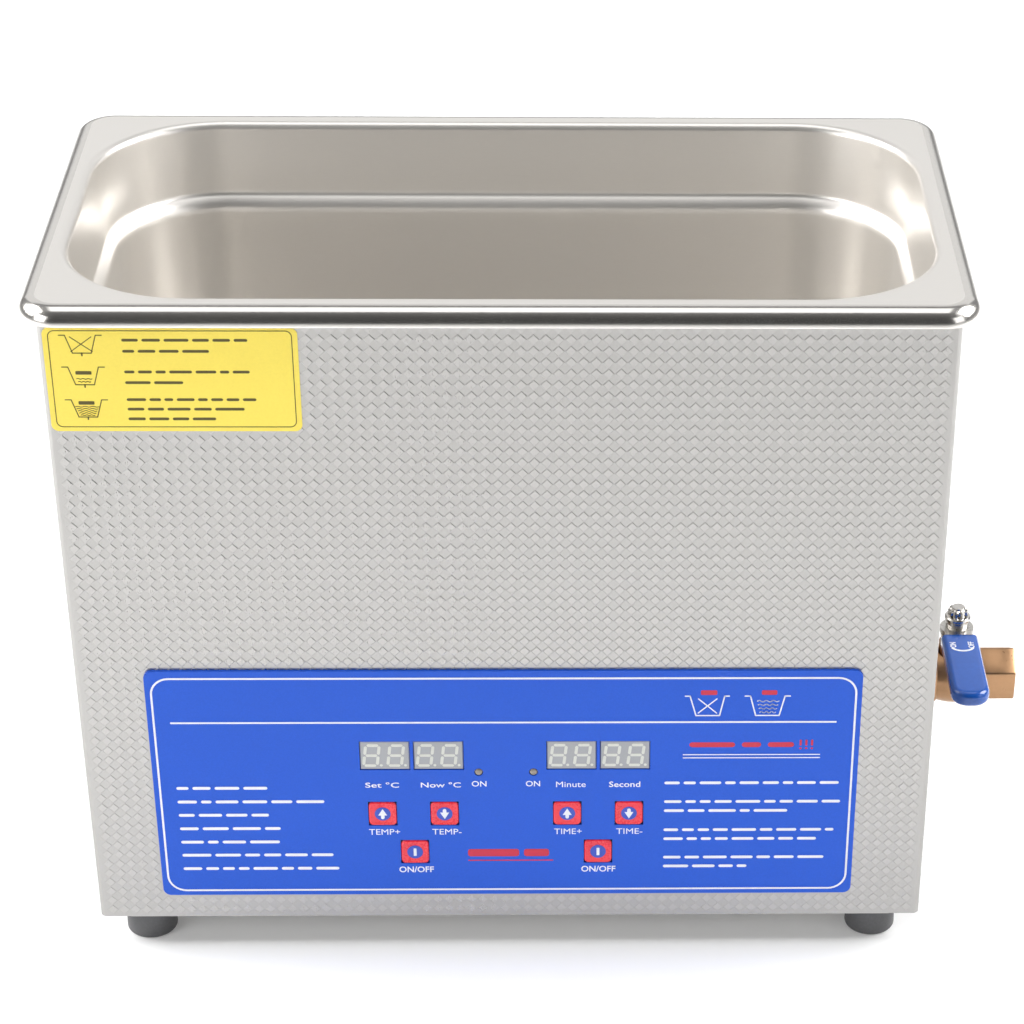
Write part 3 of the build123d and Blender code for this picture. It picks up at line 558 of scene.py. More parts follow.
def bath_rings():
    """The pan's section from the floor up the inside, over the rim and back down the outside."""
    def wall(inset, z):
        return (*BATH_CENTRE, BATH_CORNER - inset, z)

    def rim(radius, z):
        return (*RIM_CENTRE, radius, z)

    flat = FLOOR_INSET + FLOOR_RADIUS
    turn = RIM_CORNER - RIM_ROLL
    low = RIM_TOP - RIM_ROLL
    rings = [wall(flat + FLOOR_MARGIN, BATH_FLOOR)]
    for angle in reversed(quarter()):
        rise = FLOOR_RADIUS * (1 - math.sin(angle))
        rings.append(wall(flat - FLOOR_RADIUS * math.cos(angle), BATH_FLOOR + rise))
    rings += [wall(*point) for point in (*WALL_STEP, WALL_TOP)]
    for angle in reversed(quarter()):
        rings.append(wall(MOUTH_ROLL * (math.sin(angle) - 1), RIM_TOP - MOUTH_ROLL * (1 - math.cos(angle))))
    rings.append(wall(-MOUTH_ROLL - FLAT_MARGIN, RIM_TOP))
    rings.append(rim(turn - FLAT_MARGIN, RIM_TOP))
    for angle in quarter():
        rings.append(rim(turn + RIM_ROLL * math.sin(angle), low + RIM_ROLL * math.cos(angle)))
    rings += [rim(*point) for point in RIM_CURL]
    rings.append(rim(RIM_CORNER - PAN_SHEET, low))
    inner = RIM_ROLL - PAN_SHEET
    for angle in reversed(quarter(4)[:-1]):
        rings.append(rim(turn + inner * math.sin(angle), low + inner * math.cos(angle)))
    inner = MOUTH_ROLL - PAN_SHEET
    for angle in quarter(4):
        rise = inner * math.cos(angle)
        rings.append(wall(inner * math.sin(angle) - MOUTH_ROLL, RIM_TOP - MOUTH_ROLL + rise))
    rings += [wall(inset - PAN_SHEET, z) for inset, z in reversed(WALL_STEP)]
    reach = FLOOR_RADIUS + PAN_SHEET
    for angle in quarter():
        drop = reach * math.sin(angle)
        rings.append(wall(flat - reach * math.cos(angle), BATH_FLOOR + FLOOR_RADIUS - drop))
    rings.append(wall(flat + FLOOR_MARGIN, BATH_FLOOR - PAN_SHEET))
    return rings


def fill_round(bm, loop, z):
    """Closes a loop except for the drain's hole, and returns the hole's edges."""
    circle = bmesh.ops.create_circle(
        bm, segments=48, radius=DRAIN_RADIUS, matrix=Matrix.Translation((DRAIN_X, 0, z))
    )["verts"]
    hole = list({edge for vert in circle for edge in vert.link_edges})
    bmesh.ops.triangle_fill(bm, edges=loop + hole, use_beauty=True, use_dissolve=False, normal=(0, 0, 1))
    return hole


class CLEANER_OT_bath(bpy.types.Operator):
    """Make the deep-drawn bath with its rolled rim"""

    bl_idname = "cleaner.bath"
    bl_label = "Bath"

    def execute(self, context):
        steps = context.scene.cleaner_sizes.corner_steps
        bm, first, last = swept_outline(bath_rings(), steps, False, False)
        upper = fill_round(bm, first, BATH_FLOOR)
        lower = fill_round(bm, last, BATH_FLOOR - PAN_SHEET)
        bmesh.ops.bridge_loops(bm, edges=upper + lower)
        tidy_solid(bm)
        flat = RIM_CORNER - RIM_ROLL
        for face in bm.faces:
            centre = face.calc_center_median()
            out_x = abs(centre.x) - RIM_CENTRE[0]
            out_y = abs(centre.y) - RIM_CENTRE[1]
            if max(out_x, out_y, math.hypot(max(0.0, out_x), max(0.0, out_y))) > flat:
                face.material_index = 1
        finishes = [satin_steel(), polished_edge()]
        settle("bath_pan", bm, finishes, "housing", ["bath_tank"], 35.0)
        return {"FINISHED"}


# ---- housing -------------------------------------------------------------------------------------
WINDOW_REACH = 5.0              # how far outside an opening cells are still cut with it
FACES_OUT = 0.9                 # least share of a face's normal that points out of the flat sheet
WHOLE_CELL = 0.3                # least share of a full square that is raised
FLANGE_CORNER = 1.0


def strip_windows():
    """Openings in the unrolled sheet: x from the front's middle, height, half width and half height."""
    windows = []
    for middle in (TEMPERATURE_X, TIME_X):
        windows.append((middle - KEY_OFFSET, KEY_Z, *KEY_WINDOW))
        windows.append((middle + KEY_OFFSET, KEY_Z, *KEY_WINDOW))
        windows.append((middle, SWITCH_KEY_Z, *KEY_WINDOW))
        windows.append((middle, DISPLAY_Z, *DISPLAY_WINDOW))
    side = FLAT_X + BEND
    rear = side + 2 * FLAT_Y + BEND
    windows.append((side + FLAT_Y, VALVE_Z, *VALVE_WINDOW))
    windows.append((rear + FLAT_X - INLET_X, REAR_Z, *INLET_WINDOW))
    windows.append((rear + FLAT_X - SWITCH_X, REAR_Z, *SWITCH_WINDOW))
    return windows


def slice_faces(bm, faces, point, normal):
    """Cuts some faces along a plane, and returns the faces that they become."""
    edges = {edge for face in faces for edge in face.edges}
    verts = {vert for face in faces for vert in face.verts}
    whole = faces + list(edges) + list(verts)
    made = bmesh.ops.bisect_plane(bm, geom=whole, dist=1e-5, plane_co=point, plane_no=normal)
    return [item for item in made["geom"] if isinstance(item, bmesh.types.BMFace)]


def faces_round(faces, x, y, reach_x, reach_y):
    """The faces whose middles lie in a rectangle of the flat sheet."""
    near = []
    for face in faces:
        centre = face.calc_center_median()
        if abs(centre.x - x) < reach_x and abs(centre.y - y) < reach_y:
            near.append(face)
    return near


def cut_window(bm, x, y, half_x, half_y):
    """Cuts a rectangular opening in a flat sheet, touching only the cells round it."""
    near = faces_round(bm.faces, x, y, half_x + WINDOW_REACH, half_y + WINDOW_REACH)
    for side, axis in ((-1, 0), (1, 0), (-1, 1), (1, 1)):
        point = Vector((x, y, 0))
        point[axis] += side * (half_x, half_y)[axis]
        normal = Vector((0, 0, 0))
        normal[axis] = side
        near = slice_faces(bm, near, point, normal)
    bmesh.ops.delete(bm, geom=faces_round(near, x, y, half_x, half_y), context="FACES")


def fold_lines():
    """Strip positions of the bends round the four vertical corners."""
    lines = [start + BEND * step / BEND_STEPS for start in BEND_STARTS for step in range(BEND_STEPS + 1)]
    return [side * line for line in lines for side in (-1, 1)]


def folded(along, height, out):
    """Where a point of the unrolled sheet lies once it is folded round the housing."""
    side = math.copysign(1.0, along)
    run = abs(along)
    radius = SHELL_CORNER + out
    if run <= FLAT_X:
        return (side * run, -FLAT_Y - radius, height)
    run -= FLAT_X
    if run <= BEND:
        angle = run / SHELL_CORNER
        return (side * (FLAT_X + radius * math.sin(angle)), -FLAT_Y - radius * math.cos(angle), height)
    run -= BEND
    if run <= 2 * FLAT_Y:
        return (side * (FLAT_X + radius), run - FLAT_Y, height)
    run -= 2 * FLAT_Y
    if run <= BEND:
        angle = run / SHELL_CORNER
        return (side * (FLAT_X + radius * math.cos(angle)), FLAT_Y + radius * math.sin(angle), height)
    run -= BEND
    return (side * (FLAT_X - run), FLAT_Y + radius, height)


def flat_lattice(half_round, side, middle, level):
    """Squares standing on their corners, trimmed to the unrolled sheet."""
    count = 2 * math.ceil((2 * half_round + SHELL_HIGH) / math.sqrt(2) / side / 2) + 4
    bm = bmesh.new()
    tilt = Matrix.Translation((0, 0, level)) @ Matrix.Rotation(math.pi / 4, 4, "Z")
    bmesh.ops.create_grid(bm, x_segments=count, y_segments=count, size=count * side / 2, matrix=tilt)
    bmesh.ops.translate(bm, vec=(0, middle, 0), verts=bm.verts)
    limits = (
        ((half_round, 0, 0), (1, 0, 0)), ((-half_round, 0, 0), (-1, 0, 0)),
        ((0, SHELL_LOW, 0), (0, -1, 0)), ((0, SHELL_HIGH, 0), (0, 1, 0)),
    )
    for point, normal in limits:
        whole = list(bm.verts) + list(bm.edges) + list(bm.faces)
        bmesh.ops.bisect_plane(bm, geom=whole, dist=1e-5, plane_co=point, plane_no=normal, clear_outer=True)
    return bm


def close_back(bm, drop):
    """Gives the flat sheet its thickness and a plain back."""
    made = bmesh.ops.extrude_edge_only(bm, edges=[edge for edge in bm.edges if edge.is_boundary])
    bmesh.ops.translate(bm, vec=(0, 0, drop), verts=verts_in(made))
    back = set(verts_in(made))
    back_edges = [edge for edge in edges_in(made) if all(vert in back for vert in edge.verts)]
    bmesh.ops.triangle_fill(bm, edges=back_edges, use_beauty=False, use_dissolve=False, normal=(0, 0, -1))
    bmesh.ops.recalc_face_normals(bm, faces=bm.faces)


def crosses(face, line):
    """Whether a face of the flat sheet lies on both sides of a fold line."""
    return min(vert.co.x for vert in face.verts) < line < max(vert.co.x for vert in face.verts)


def embossed_sheet(sizes):
    """The housing's sheet: a flat lattice with every other row raised, folded round the housing."""
    half_round = 2 * (SHELL_HALF_LENGTH + SHELL_HALF_DEPTH - 2 * SHELL_CORNER) + SHELL_CORNER * math.pi
    diagonal = 2 * half_round / round(2 * half_round / (sizes.cell / MM * math.sqrt(2)))
    side = diagonal / math.sqrt(2)
    middle = (SHELL_LOW + SHELL_HIGH) / 2
    emboss = sizes.emboss / MM
    bm = flat_lattice(half_round, side, middle, -emboss / 2)
    for window in strip_windows():
        cut_window(bm, *window)
    close_back(bm, emboss / 2 - SHELL_SHEET)
    for line in fold_lines():
        slice_faces(bm, [face for face in bm.faces if crosses(face, line)], (line, 0, 0), (1, 0, 0))
    raised = []
    for face in bm.faces:
        centre = face.calc_center_median()
        row = round((centre.y - middle) / (diagonal / 2))
        whole = face.calc_area() > WHOLE_CELL * side * side
        bent = any(start < abs(centre.x) < start + BEND for start in BEND_STARTS)
        if face.normal.z > FACES_OUT and row % 2 == 0 and whole and not bent:
            raised.append(face)
    bmesh.ops.inset_individual(
        bm, faces=raised, thickness=sizes.emboss_slope / MM, depth=emboss, use_even_offset=True,
        use_relative_offset=False,
    )
    # The raised squares take the second finish, whose lighter colour is painted highlight.
    for face in raised:
        face.material_index = 1
    for vert in bm.verts:
        vert.co = folded(*vert.co)
    return bm


class CLEANER_OT_housing(bpy.types.Operator):
    """Fold the embossed sheet round the housing and add its turned-in bottom edge"""

    bl_idname = "cleaner.housing"
    bl_label = "Housing"

    def execute(self, context):
        bm = embossed_sheet(context.scene.cleaner_sizes)
        centre_x = SHELL_HALF_LENGTH - SHELL_SHEET - FLANGE_CORNER
        centre_y = SHELL_HALF_DEPTH - SHELL_SHEET - FLANGE_CORNER
        low = SHELL_LOW
        high = SHELL_LOW + SHELL_SHEET
        section = ((0, low), (0, high), (SHELL_TURN_IN, high), (SHELL_TURN_IN, low), (0, low))
        rings = [(centre_x - inset, centre_y - inset, FLANGE_CORNER, z) for inset, z in section]
        flange, _, _ = swept_outline(rings, 4, False, False)
        join(bm, tidy_solid(flange, 1e-5))
        # Two copies of one sheet: the sunk squares' darker colour is painted shade and the raised squares'
        # lighter colour is painted highlight; the raised squares are also a little smoother.
        sunk = embossed_steel("embossed_sheet_sunk_painted_shade", 0.96, 0.32)
        proud = embossed_steel("embossed_sheet_raised_painted_highlight", 1.03, 0.29)
        settle("housing_sheet", bm, [sunk, proud], "housing", ["housing_shell"], 12.0)
        return {"FINISHED"}


# ---- front panel ---------------------------------------------------------------------------------
# The places of the print are X and height in millimetres on the housing's front.
PANEL_BORDER = (-129.1, 127.2, 26.6, 121.6, 7.0, 0.75)      # left, right, low, high, corner, line width
PANEL_RULE = (-122.8, 120.2, 101.9, 102.6)                  # left, right, low, high
HEADING_RULES = ((64.1, 114.8, 87.75, 88.15), (64.1, 114.8, 86.35, 86.75))
RIGHT_MARGIN = 57.5
RIGHT_LINES = (                                             # right end and base line of each written line
    (122.3, 74.2), (123.2, 65.8), (103.6, 61.7), (121.3, 53.0), (114.9, 48.9), (118.1, 40.4), (89.1, 36.3),
)
LEFT_MARGIN = -122.7
LEFT_LINES = (
    (-89.2, 72.3), (-68.5, 66.2), (-89.3, 60.2), (-85.3, 54.1), (-85.9, 48.0), (-66.2, 42.0), (-64.3, 35.8),
)
CAPTIONS = (                                                # text, left, right, base line, height, boldness
    ("Set °C", -53.1, -40.6, 73.7, 2.3, 0.01), ("Now °C", -32.6, -17.8, 73.7, 2.3, 0.01),
    ("ON", -13.8, -8.3, 74.1, 2.4, 0.01), ("ON", 6.2, 11.5, 74.1, 2.4, 0.01),
    ("Minute", 17.4, 28.4, 73.7, 2.4, 0.01), ("Second", 37.0, 48.6, 73.7, 2.4, 0.01),
    ("TEMP+", -52.5, -40.9, 52.4, 2.5, 0.015), ("TEMP-", -28.9, -18.0, 52.4, 2.5, 0.015),
    ("TIME+", 16.6, 26.9, 52.4, 2.5, 0.015), ("TIME-", 39.8, 49.6, 52.4, 2.5, 0.015),
    ("ON/OFF", -41.8, -28.8, 35.1, 2.6, 0.015), ("ON/OFF", 26.7, 39.6, 35.1, 2.6, 0.015),
)
NAME_BARS = (                                               # left, right, low, high, corner
    (-15.8, 3.4, 42.3, 45.6, 0.9), (5.2, 14.6, 42.3, 45.6, 0.9), (-15.8, 16.2, 40.2, 40.7, 0.2),
)
LABEL_BORDER = (-152.2, -70.4, 222.3, 258.6, 2.3, 0.3)
LABEL_MARGIN = -127.6
LABEL_LINES = (
    (-85.4, 254.0), (-98.5, 249.9), (-85.3, 242.2), (-108.0, 238.2), (-83.7, 231.8), (-87.9, 228.2),
    (-97.8, 224.5),
)
LABEL_BASINS = ((256.8, 250.2), (245.0, 238.4), (232.7, 226.2))     # rim and foot of each drawing
HALF_FULL = (240.6, 239.5)                                  # heights of the water lines
FULL = (230.1, 229.3, 228.5, 227.7, 226.9)


def panel_basins(bm):
    """An empty basin that is crossed out, and a full one."""
    basin(bm, 64.6, 80.6, 68.6, 77.2, 113.5, 105.1, 1.7, 0.5)
    cross(bm, 69.4, 76.1, 106.2, 112.3, 0.45)
    basin(bm, 86.4, 102.8, 90.4, 99.0, 113.5, 105.1, 1.9, 0.5)
    for step in range(4):
        inset = 0.35 * step
        ripple(bm, 90.9 + inset, 98.7 - inset, 111.3 - 1.6 * step, 0.3, 0.34)


def red_print(bm, chance):
    """The panel's red print: bars over the basins, the heading with three marks, and plain name bars."""
    for x, width in ((70.2, 6.0), (92.4, 5.6)):
        bar(bm, x, x + width, 114.0, 116.0, 0.5, material=1)
    word_bars(bm, chance, 66.4, 105.0, 90.2, 4.4, material=1)
    for step in range(3):
        left = 107.0 + 2.1 * step
        right = 107.8 + 2.1 * step
        bar(bm, left, right, 91.9, 94.4, material=1)
        bar(bm, left, right, 90.3, 91.1, material=1)
    for place in NAME_BARS:
        bar(bm, *place, material=1)


class CLEANER_OT_panel(bpy.types.Operator):
    """Print the control panel's film: border, writing bars, basins and captions"""

    bl_idname = "cleaner.panel"
    bl_label = "Control panel"

    def execute(self, context):
        chance = random.Random(7)
        bm = bmesh.new()
        open_frame(bm, *PANEL_BORDER)
        bar(bm, *PANEL_RULE)
        for end, base in RIGHT_LINES:
            word_bars(bm, chance, RIGHT_MARGIN, end, base, 2.5)
        for end, base in LEFT_LINES:
            word_bars(bm, chance, LEFT_MARGIN, end, base, 2.6)
        panel_basins(bm)
        for rule in HEADING_RULES:
            bar(bm, *rule)
        for caption in CAPTIONS:
            words(bm, *caption)
        red_print(bm, chance)
        face_front(bm, PANEL_FACE)
        inks = [white_print(), print_ink("red_ink", (206, 36, 66), 0.9)]
        settle("panel_print", bm, inks, "housing")
        film = finish_material(
            "panel_film_blue", context.scene.cleaner_colours.panel, dark=0.9, roughness=0.34, spread=0.06,
            scale=1600.0, broad=6.0, bump=0.08, depth=0.01, specular=0.22,
        )
        dress("control_overlay", film)
        return {"FINISHED"}


def label_basins(bm):
    """Three basins with a drain below each: an empty one, crossed out, then a half full and a full one."""
    for rim, foot in LABEL_BASINS:
        basin(bm, -148.4, -134.1, -144.3, -138.0, rim, foot, 2.0, 0.35)
        stroke(bm, -141.2, foot, -141.2, foot - 0.9, 0.5)
    cross(bm, -144.8, -137.6, 250.8, 256.2, 0.3)
    for step, y in enumerate(HALF_FULL):
        ripple(bm, -143.8 + 0.5 * step, -138.6 - 0.5 * step, y, 0.14, 0.26)
    for step, y in enumerate(FULL):
        ripple(bm, -145.2 + 0.4 * step, -137.2 - 0.4 * step, y, 0.14, 0.26)
    for y in (242.2, 230.9):
        bar(bm, -144.0, -138.6, y, y + 1.3, 0.3)


class CLEANER_OT_label(bpy.types.Operator):
    """Print the yellow instruction label"""

    bl_idname = "cleaner.label"
    bl_label = "Instruction label"

    def execute(self, context):
        chance = random.Random(11)
        bm = bmesh.new()
        open_frame(bm, *LABEL_BORDER)
        for end, base in LABEL_LINES:
            word_bars(bm, chance, LABEL_MARGIN, end, base, 2.1)
        label_basins(bm)
        face_front(bm, LABEL_FACE)
        olive = print_ink("olive_ink", (92, 82, 26), 0.85, 0.5)
        settle("label_print", bm, [olive], "housing")
        yellow = finish_material(
            "label_yellow", context.scene.cleaner_colours.label, dark=0.95, roughness=0.36, spread=0.08,
            scale=1400.0, broad=8.0, bump=0.08, depth=0.01, specular=0.3,
        )
        dress("instruction_label", yellow)
        return {"FINISHED"}


# ---- displays, lamps and keys --------------------------------------------------------------------
SEGMENTS = (                    # the ends of a digit's seven segments, as shares of its width and height
    ((0, 1), (1, 1)), ((0, 0.5), (1, 0.5)), ((0, 0), (1, 0)),
    ((0, 0.5), (0, 1)), ((1, 0.5), (1, 1)), ((0, 0), (0, 0.5)), ((1, 0), (1, 0.5)),
)


DIGIT_WIDTH = 5.0
DIGIT_HEIGHT = 8.8
DIGIT_LEAN = 0.12
DIGIT_STARTS = (-7.9, 1.0)      # left edges of a display's two digits, from its middle
SEGMENT_WIDTH = 1.15
SEGMENT_RAISE = 0.06


def digit(bm, x, y):
    """Seven leaning segments of one digit whose lower left corner is at x and y."""
    for ends in SEGMENTS:
        start, end = (
            Vector((x + across * DIGIT_WIDTH + up * DIGIT_HEIGHT * DIGIT_LEAN, y + up * DIGIT_HEIGHT))
            for across, up in ends
        )
        along = (end - start).normalized() * (0.62 * SEGMENT_WIDTH)
        start += along
        end -= along
        half = (end - start).length / 2 + 0.3 * SEGMENT_WIDTH
        corner = SEGMENT_WIDTH * 0.34
        slab = rounded_slab(half, SEGMENT_WIDTH / 2, corner, -PRINT_SINK, SEGMENT_RAISE, steps=1)
        middle = (start + end) / 2
        join(bm, shift(slab, middle.x, middle.y, 0.0, math.atan2(along.y, along.x)))


class CLEANER_OT_displays(bpy.types.Operator):
    """Add the unlit segments of the four displays"""

    bl_idname = "cleaner.displays"
    bl_label = "Displays"

    def execute(self, context):
        bm = bmesh.new()
        for group in (TEMPERATURE_X, TIME_X):
            for x in (group - DISPLAY_OFFSET, group + DISPLAY_OFFSET):
                for start in (x + offset for offset in DIGIT_STARTS):
                    digit(bm, start, DISPLAY_Z - DIGIT_HEIGHT / 2)
                    dot = rounded_slab(0.55, 0.55, 0.5, -PRINT_SINK, SEGMENT_RAISE, steps=3)
                    join(bm, shift(dot, start + 6.5, DISPLAY_Z - 4.3))
        face_front(bm, DISPLAY_FACE)
        unlit = finish_material(
            "unlit_segment", srgb(214, 216, 208), dark=0.94, roughness=0.35, scale=1200.0, bump=0.05
        )
        settle("display_segments", bm, [unlit], "housing")
        face = finish_material(
            "display_grey", srgb(166, 168, 172), dark=0.94, roughness=0.38, spread=0.08, scale=1500.0,
            bump=0.06, coat=0.3,
        )
        for group in ("temperature", "time"):
            for side in ("left", "right"):
                dress(f"{group}_display_{side}", face)
        return {"FINISHED"}


KEY_HALF = 5.15
KEY_CORNER = 1.7
KEY_BACK = 0.45                 # heights of a key in front of the housing's sheet
KEY_SIDE = 0.95
KEY_ROUND = 0.55
KEY_RECESS = ((0.9, 1.46), (1.1, 1.36))                     # inset and height round the key's middle
KEY_PLUNGER = ((0, -1.5), (1.6, -1.5), (1.6, 0.6), (0, 0.6))                    # (radius, height)
KEY_DISC = ((0, 1.3), (2.95, 1.3), (2.95, 1.42), (2.85, 1.46), (0, 1.47))
SYMBOL = (1.44, 1.51)           # underside and top of the white symbol
HEAD_RAISE = 0.03               # keeps the arrow's head clear of its shaft's top


def key_body(symbol):
    """A key drawn flat: red rounded cap, blue disc and white symbol, with its plunger behind."""
    centre = (KEY_HALF - KEY_CORNER, KEY_HALF - KEY_CORNER)
    section = [(0, KEY_BACK), (0, KEY_SIDE)]
    section += [(KEY_ROUND * (1 - math.cos(a)), KEY_SIDE + KEY_ROUND * math.sin(a)) for a in quarter(4)]
    section += KEY_RECESS
    bm, _, _ = swept_outline([(*centre, KEY_CORNER - inset, z) for inset, z in section], 6)
    tidy_solid(bm, 1e-5)
    join(bm, turned(KEY_PLUNGER, 24))
    join(bm, turned(KEY_DISC, 40), 1)
    low, high = SYMBOL
    if symbol == "bar":
        bar(bm, -0.55, 0.55, -1.7, 1.7, 0.2, low, high, 2)
        return bm
    sign = 1 if symbol == "up" else -1
    stroke(bm, 0, -1.55 * sign, 0, 0.4 * sign, 1.35, low, high, 2)
    turn = 0 if sign > 0 else math.pi
    place = Matrix.Translation((0, 0.35 * sign, (low + high) / 2)) @ Matrix.Rotation(turn, 4, "Z")
    head = bmesh.new()
    bmesh.ops.create_cone(
        head, cap_ends=True, segments=3, radius1=1.95, radius2=1.92, depth=high + HEAD_RAISE - low,
        matrix=place,
    )
    join(bm, head, 2)
    return bm


class CLEANER_OT_keys(bpy.types.Operator):
    """Make the six keys and the two indicator lamps"""

    bl_idname = "cleaner.keys"
    bl_label = "Keys and lamps"

    def execute(self, context):
        red = finish_material(
            "key_red", context.scene.cleaner_colours.key, dark=0.92, roughness=0.28, spread=0.06,
            scale=1300.0, bump=0.05, coat=0.4,
        )
        blue = finish_material(
            "key_disc_blue", srgb(24, 70, 190), dark=0.92, roughness=0.34, spread=0.06, scale=1300.0,
            bump=0.05, coat=0.3,
        )
        keys = (
            ("up", -KEY_OFFSET, KEY_Z, "up"), ("down", KEY_OFFSET, KEY_Z, "down"),
            ("switch", 0, SWITCH_KEY_Z, "bar"),
        )
        for group, middle in (("temperature", TEMPERATURE_X), ("time", TIME_X)):
            for name, offset, z, symbol in keys:
                node = f"{group}_{name}_key"
                bm = face_front(shift(key_body(symbol), middle + offset, z), FRONT)
                settle(f"{node}_cap", bm, [red, blue, white_print()], node, [node])
        dome = [(LED_RADIUS * math.cos(a), LED_SIDE + LED_DOME * math.sin(a)) for a in quarter(5)[1:-1]]
        side = [(0, LED_BACK), (LED_RADIUS, LED_BACK), (LED_RADIUS, LED_SIDE)]
        profile = [*side, *dome, (0, LED_SIDE + LED_DOME)]
        lamps = bmesh.new()
        for x in LED_X:
            join(lamps, shift(turned(profile, 24), x, LED_Z))
        face_front(lamps, FRONT)
        lens = finish_material(
            "lamp_lens", srgb(150, 140, 128), dark=0.8, roughness=0.2, spread=0.05, bump=0.02, coat=0.6
        )
        settle("indicator_lamps", lamps, [lens], "housing", ["indicator_leds"])
        return {"FINISHED"}


# ---- drain valve ---------------------------------------------------------------------------------
BARREL = (                      # the ball's housing as (radius, distance from the ball)
    (0, -12.5), (10.2, -12.5), (10.3, -7.5), (11.0, -5.0), (11.5, -2.0), (11.6, 0), (11.5, 2.0), (11.0, 5.0),
    (10.4, 8.0), (9.6, 9.2), (9.4, 11.5), (0, 11.5),
)
BOSS = ((0, 2), (6.9, 2), (6.8, 11.5), (6.5, 13.0), (6.5, 15.0), (6.1, 15.5), (0, 15.5))
OUTLET_HOLE = 7.475             # radius over the thread's crests, and the thread's depth and half pitch
THREAD_DEPTH = 0.55
THREAD_STEP = 0.67
NUT_SHANK = (                   # (radius, height)
    (0, 92.0), (4.3, 92.0), (4.4, 92.2), (4.4, 95.2), (5.0, 95.7), (5.1, 96.1), (5.1, 96.8), (4.7, 97.3),
    (3.6, 97.6), (0, 97.7),
)
CROWN_TEETH = 9
CROWN_LAYERS = ((1.0, 1.9), (0.93, 0.6), (0.82, 0.35), (0.6, 0.15))         # (share of the width below, rise)
STEM_TIP = ((0, 99.0), (1.7, 99.0), (1.7, 100.7), (1.5, 100.95), (0, 101.0))
SLEEVE_HALF = (7.3, 22.5)
SLEEVE_CENTRE = (0, -30.5, 87.8)
SLEEVE_HEIGHT = 6.4
SLEEVE_FRONT_ROUND = 6.2
SLEEVE_REAR_ROUND = 2.0
SLEEVE_EDGE = 2.5
MARKS = (("ON", -3.5, 1.9), ("OFF", 3.5, 2.3))                              # (text, offset, half length)
MARKS_Y = -17.5
ARC_CENTRE = -18.6
ARC_RADII = (4.3, 3.3)
ARC_ANGLES = range(-66, 67, 12)


def flat_edges(bm):
    """The edges that lie level."""
    return [edge for edge in bm.edges if abs(edge.verts[0].co.z - edge.verts[1].co.z) < 1e-4]


def threaded_hole(bm, end_z, radius):
    """Opens the upper end of a bar with a blind hole whose wall steps in and out like a thread."""
    end = max(bm.faces, key=lambda face: face.calc_center_median().z)
    bmesh.ops.delete(bm, geom=[end], context="FACES_ONLY")
    border = [edge for edge in bm.edges if edge.is_boundary]
    place = Matrix.Translation((0, 0, end_z))
    circle = bmesh.ops.create_circle(bm, segments=48, radius=radius, matrix=place)["verts"]
    mouth = list({edge for vert in circle for edge in vert.link_edges})
    bmesh.ops.triangle_fill(bm, edges=border + mouth, use_beauty=True, use_dissolve=False, normal=(0, 0, 1))
    now = radius
    for step in range(14):
        made = bmesh.ops.extrude_edge_only(bm, edges=mouth)
        fresh = verts_in(made)
        wanted = radius - THREAD_DEPTH if step % 2 == 0 else radius
        bmesh.ops.scale(bm, vec=(wanted / now, wanted / now, 1), verts=fresh)
        bmesh.ops.translate(bm, vec=(0, 0, -THREAD_STEP), verts=fresh)
        now = wanted
        moved = set(fresh)
        mouth = [edge for edge in edges_in(made) if all(vert in moved for vert in edge.verts)]
    bmesh.ops.contextual_create(bm, geom=mouth)


def hexagonal_end(x0, x1, flats, hole=0.0):
    """A hexagonal bar along X with softened corners and chamfered ends."""
    radius = flats / math.sqrt(3)
    bm = bmesh.new()
    bmesh.ops.create_cone(bm, cap_ends=True, segments=6, radius1=radius, radius2=radius, depth=x1 - x0)
    sides = [edge for edge in bm.edges if abs(edge.verts[0].co.z - edge.verts[1].co.z) > 1]
    bmesh.ops.bevel(bm, geom=sides, offset=0.5, affect="EDGES", segments=2, profile=0.5, material=-1)
    bmesh.ops.bevel(bm, geom=flat_edges(bm), offset=0.7, affect="EDGES", segments=2, profile=0.5, material=-1)
    if hole:
        threaded_hole(bm, (x1 - x0) / 2, hole)
    place = Matrix.Translation(((x0 + x1) / 2, 0, VALVE_Z))
    matrix = place @ Matrix.Rotation(math.pi / 2, 4, "Y") @ Matrix.Rotation(math.pi / 6, 4, "Z")
    bmesh.ops.transform(bm, matrix=matrix, verts=bm.verts)
    return tidy_solid(bm, 1e-5)


def notched_nut():
    """The tall lock nut on the stem: a round shank, a wide flange and a crown cut by notches."""
    bm = turned(NUT_SHANK, 40)
    crown = bmesh.new()
    ring = bmesh.ops.create_circle(crown, cap_ends=True, segments=4 * CROWN_TEETH, radius=4.0)["verts"]
    around = sorted(ring, key=lambda item: math.atan2(item.co.y, item.co.x))
    for index, vert in enumerate(around):
        if index % 4 in (0, 1):
            vert.co *= 0.8
    base = list(crown.faces)
    for out, up in CROWN_LAYERS:
        made = bmesh.ops.extrude_face_region(crown, geom=base)
        bmesh.ops.translate(crown, vec=(0, 0, up), verts=verts_in(made))
        bmesh.ops.scale(crown, vec=(out, out, 1), verts=verts_in(made))
        base = [item for item in made["geom"] if isinstance(item, bmesh.types.BMFace)]
    tidy_solid(crown, 1e-5)
    join(bm, shift(crown, z=97.5))
    return shift(bm, VALVE_X)


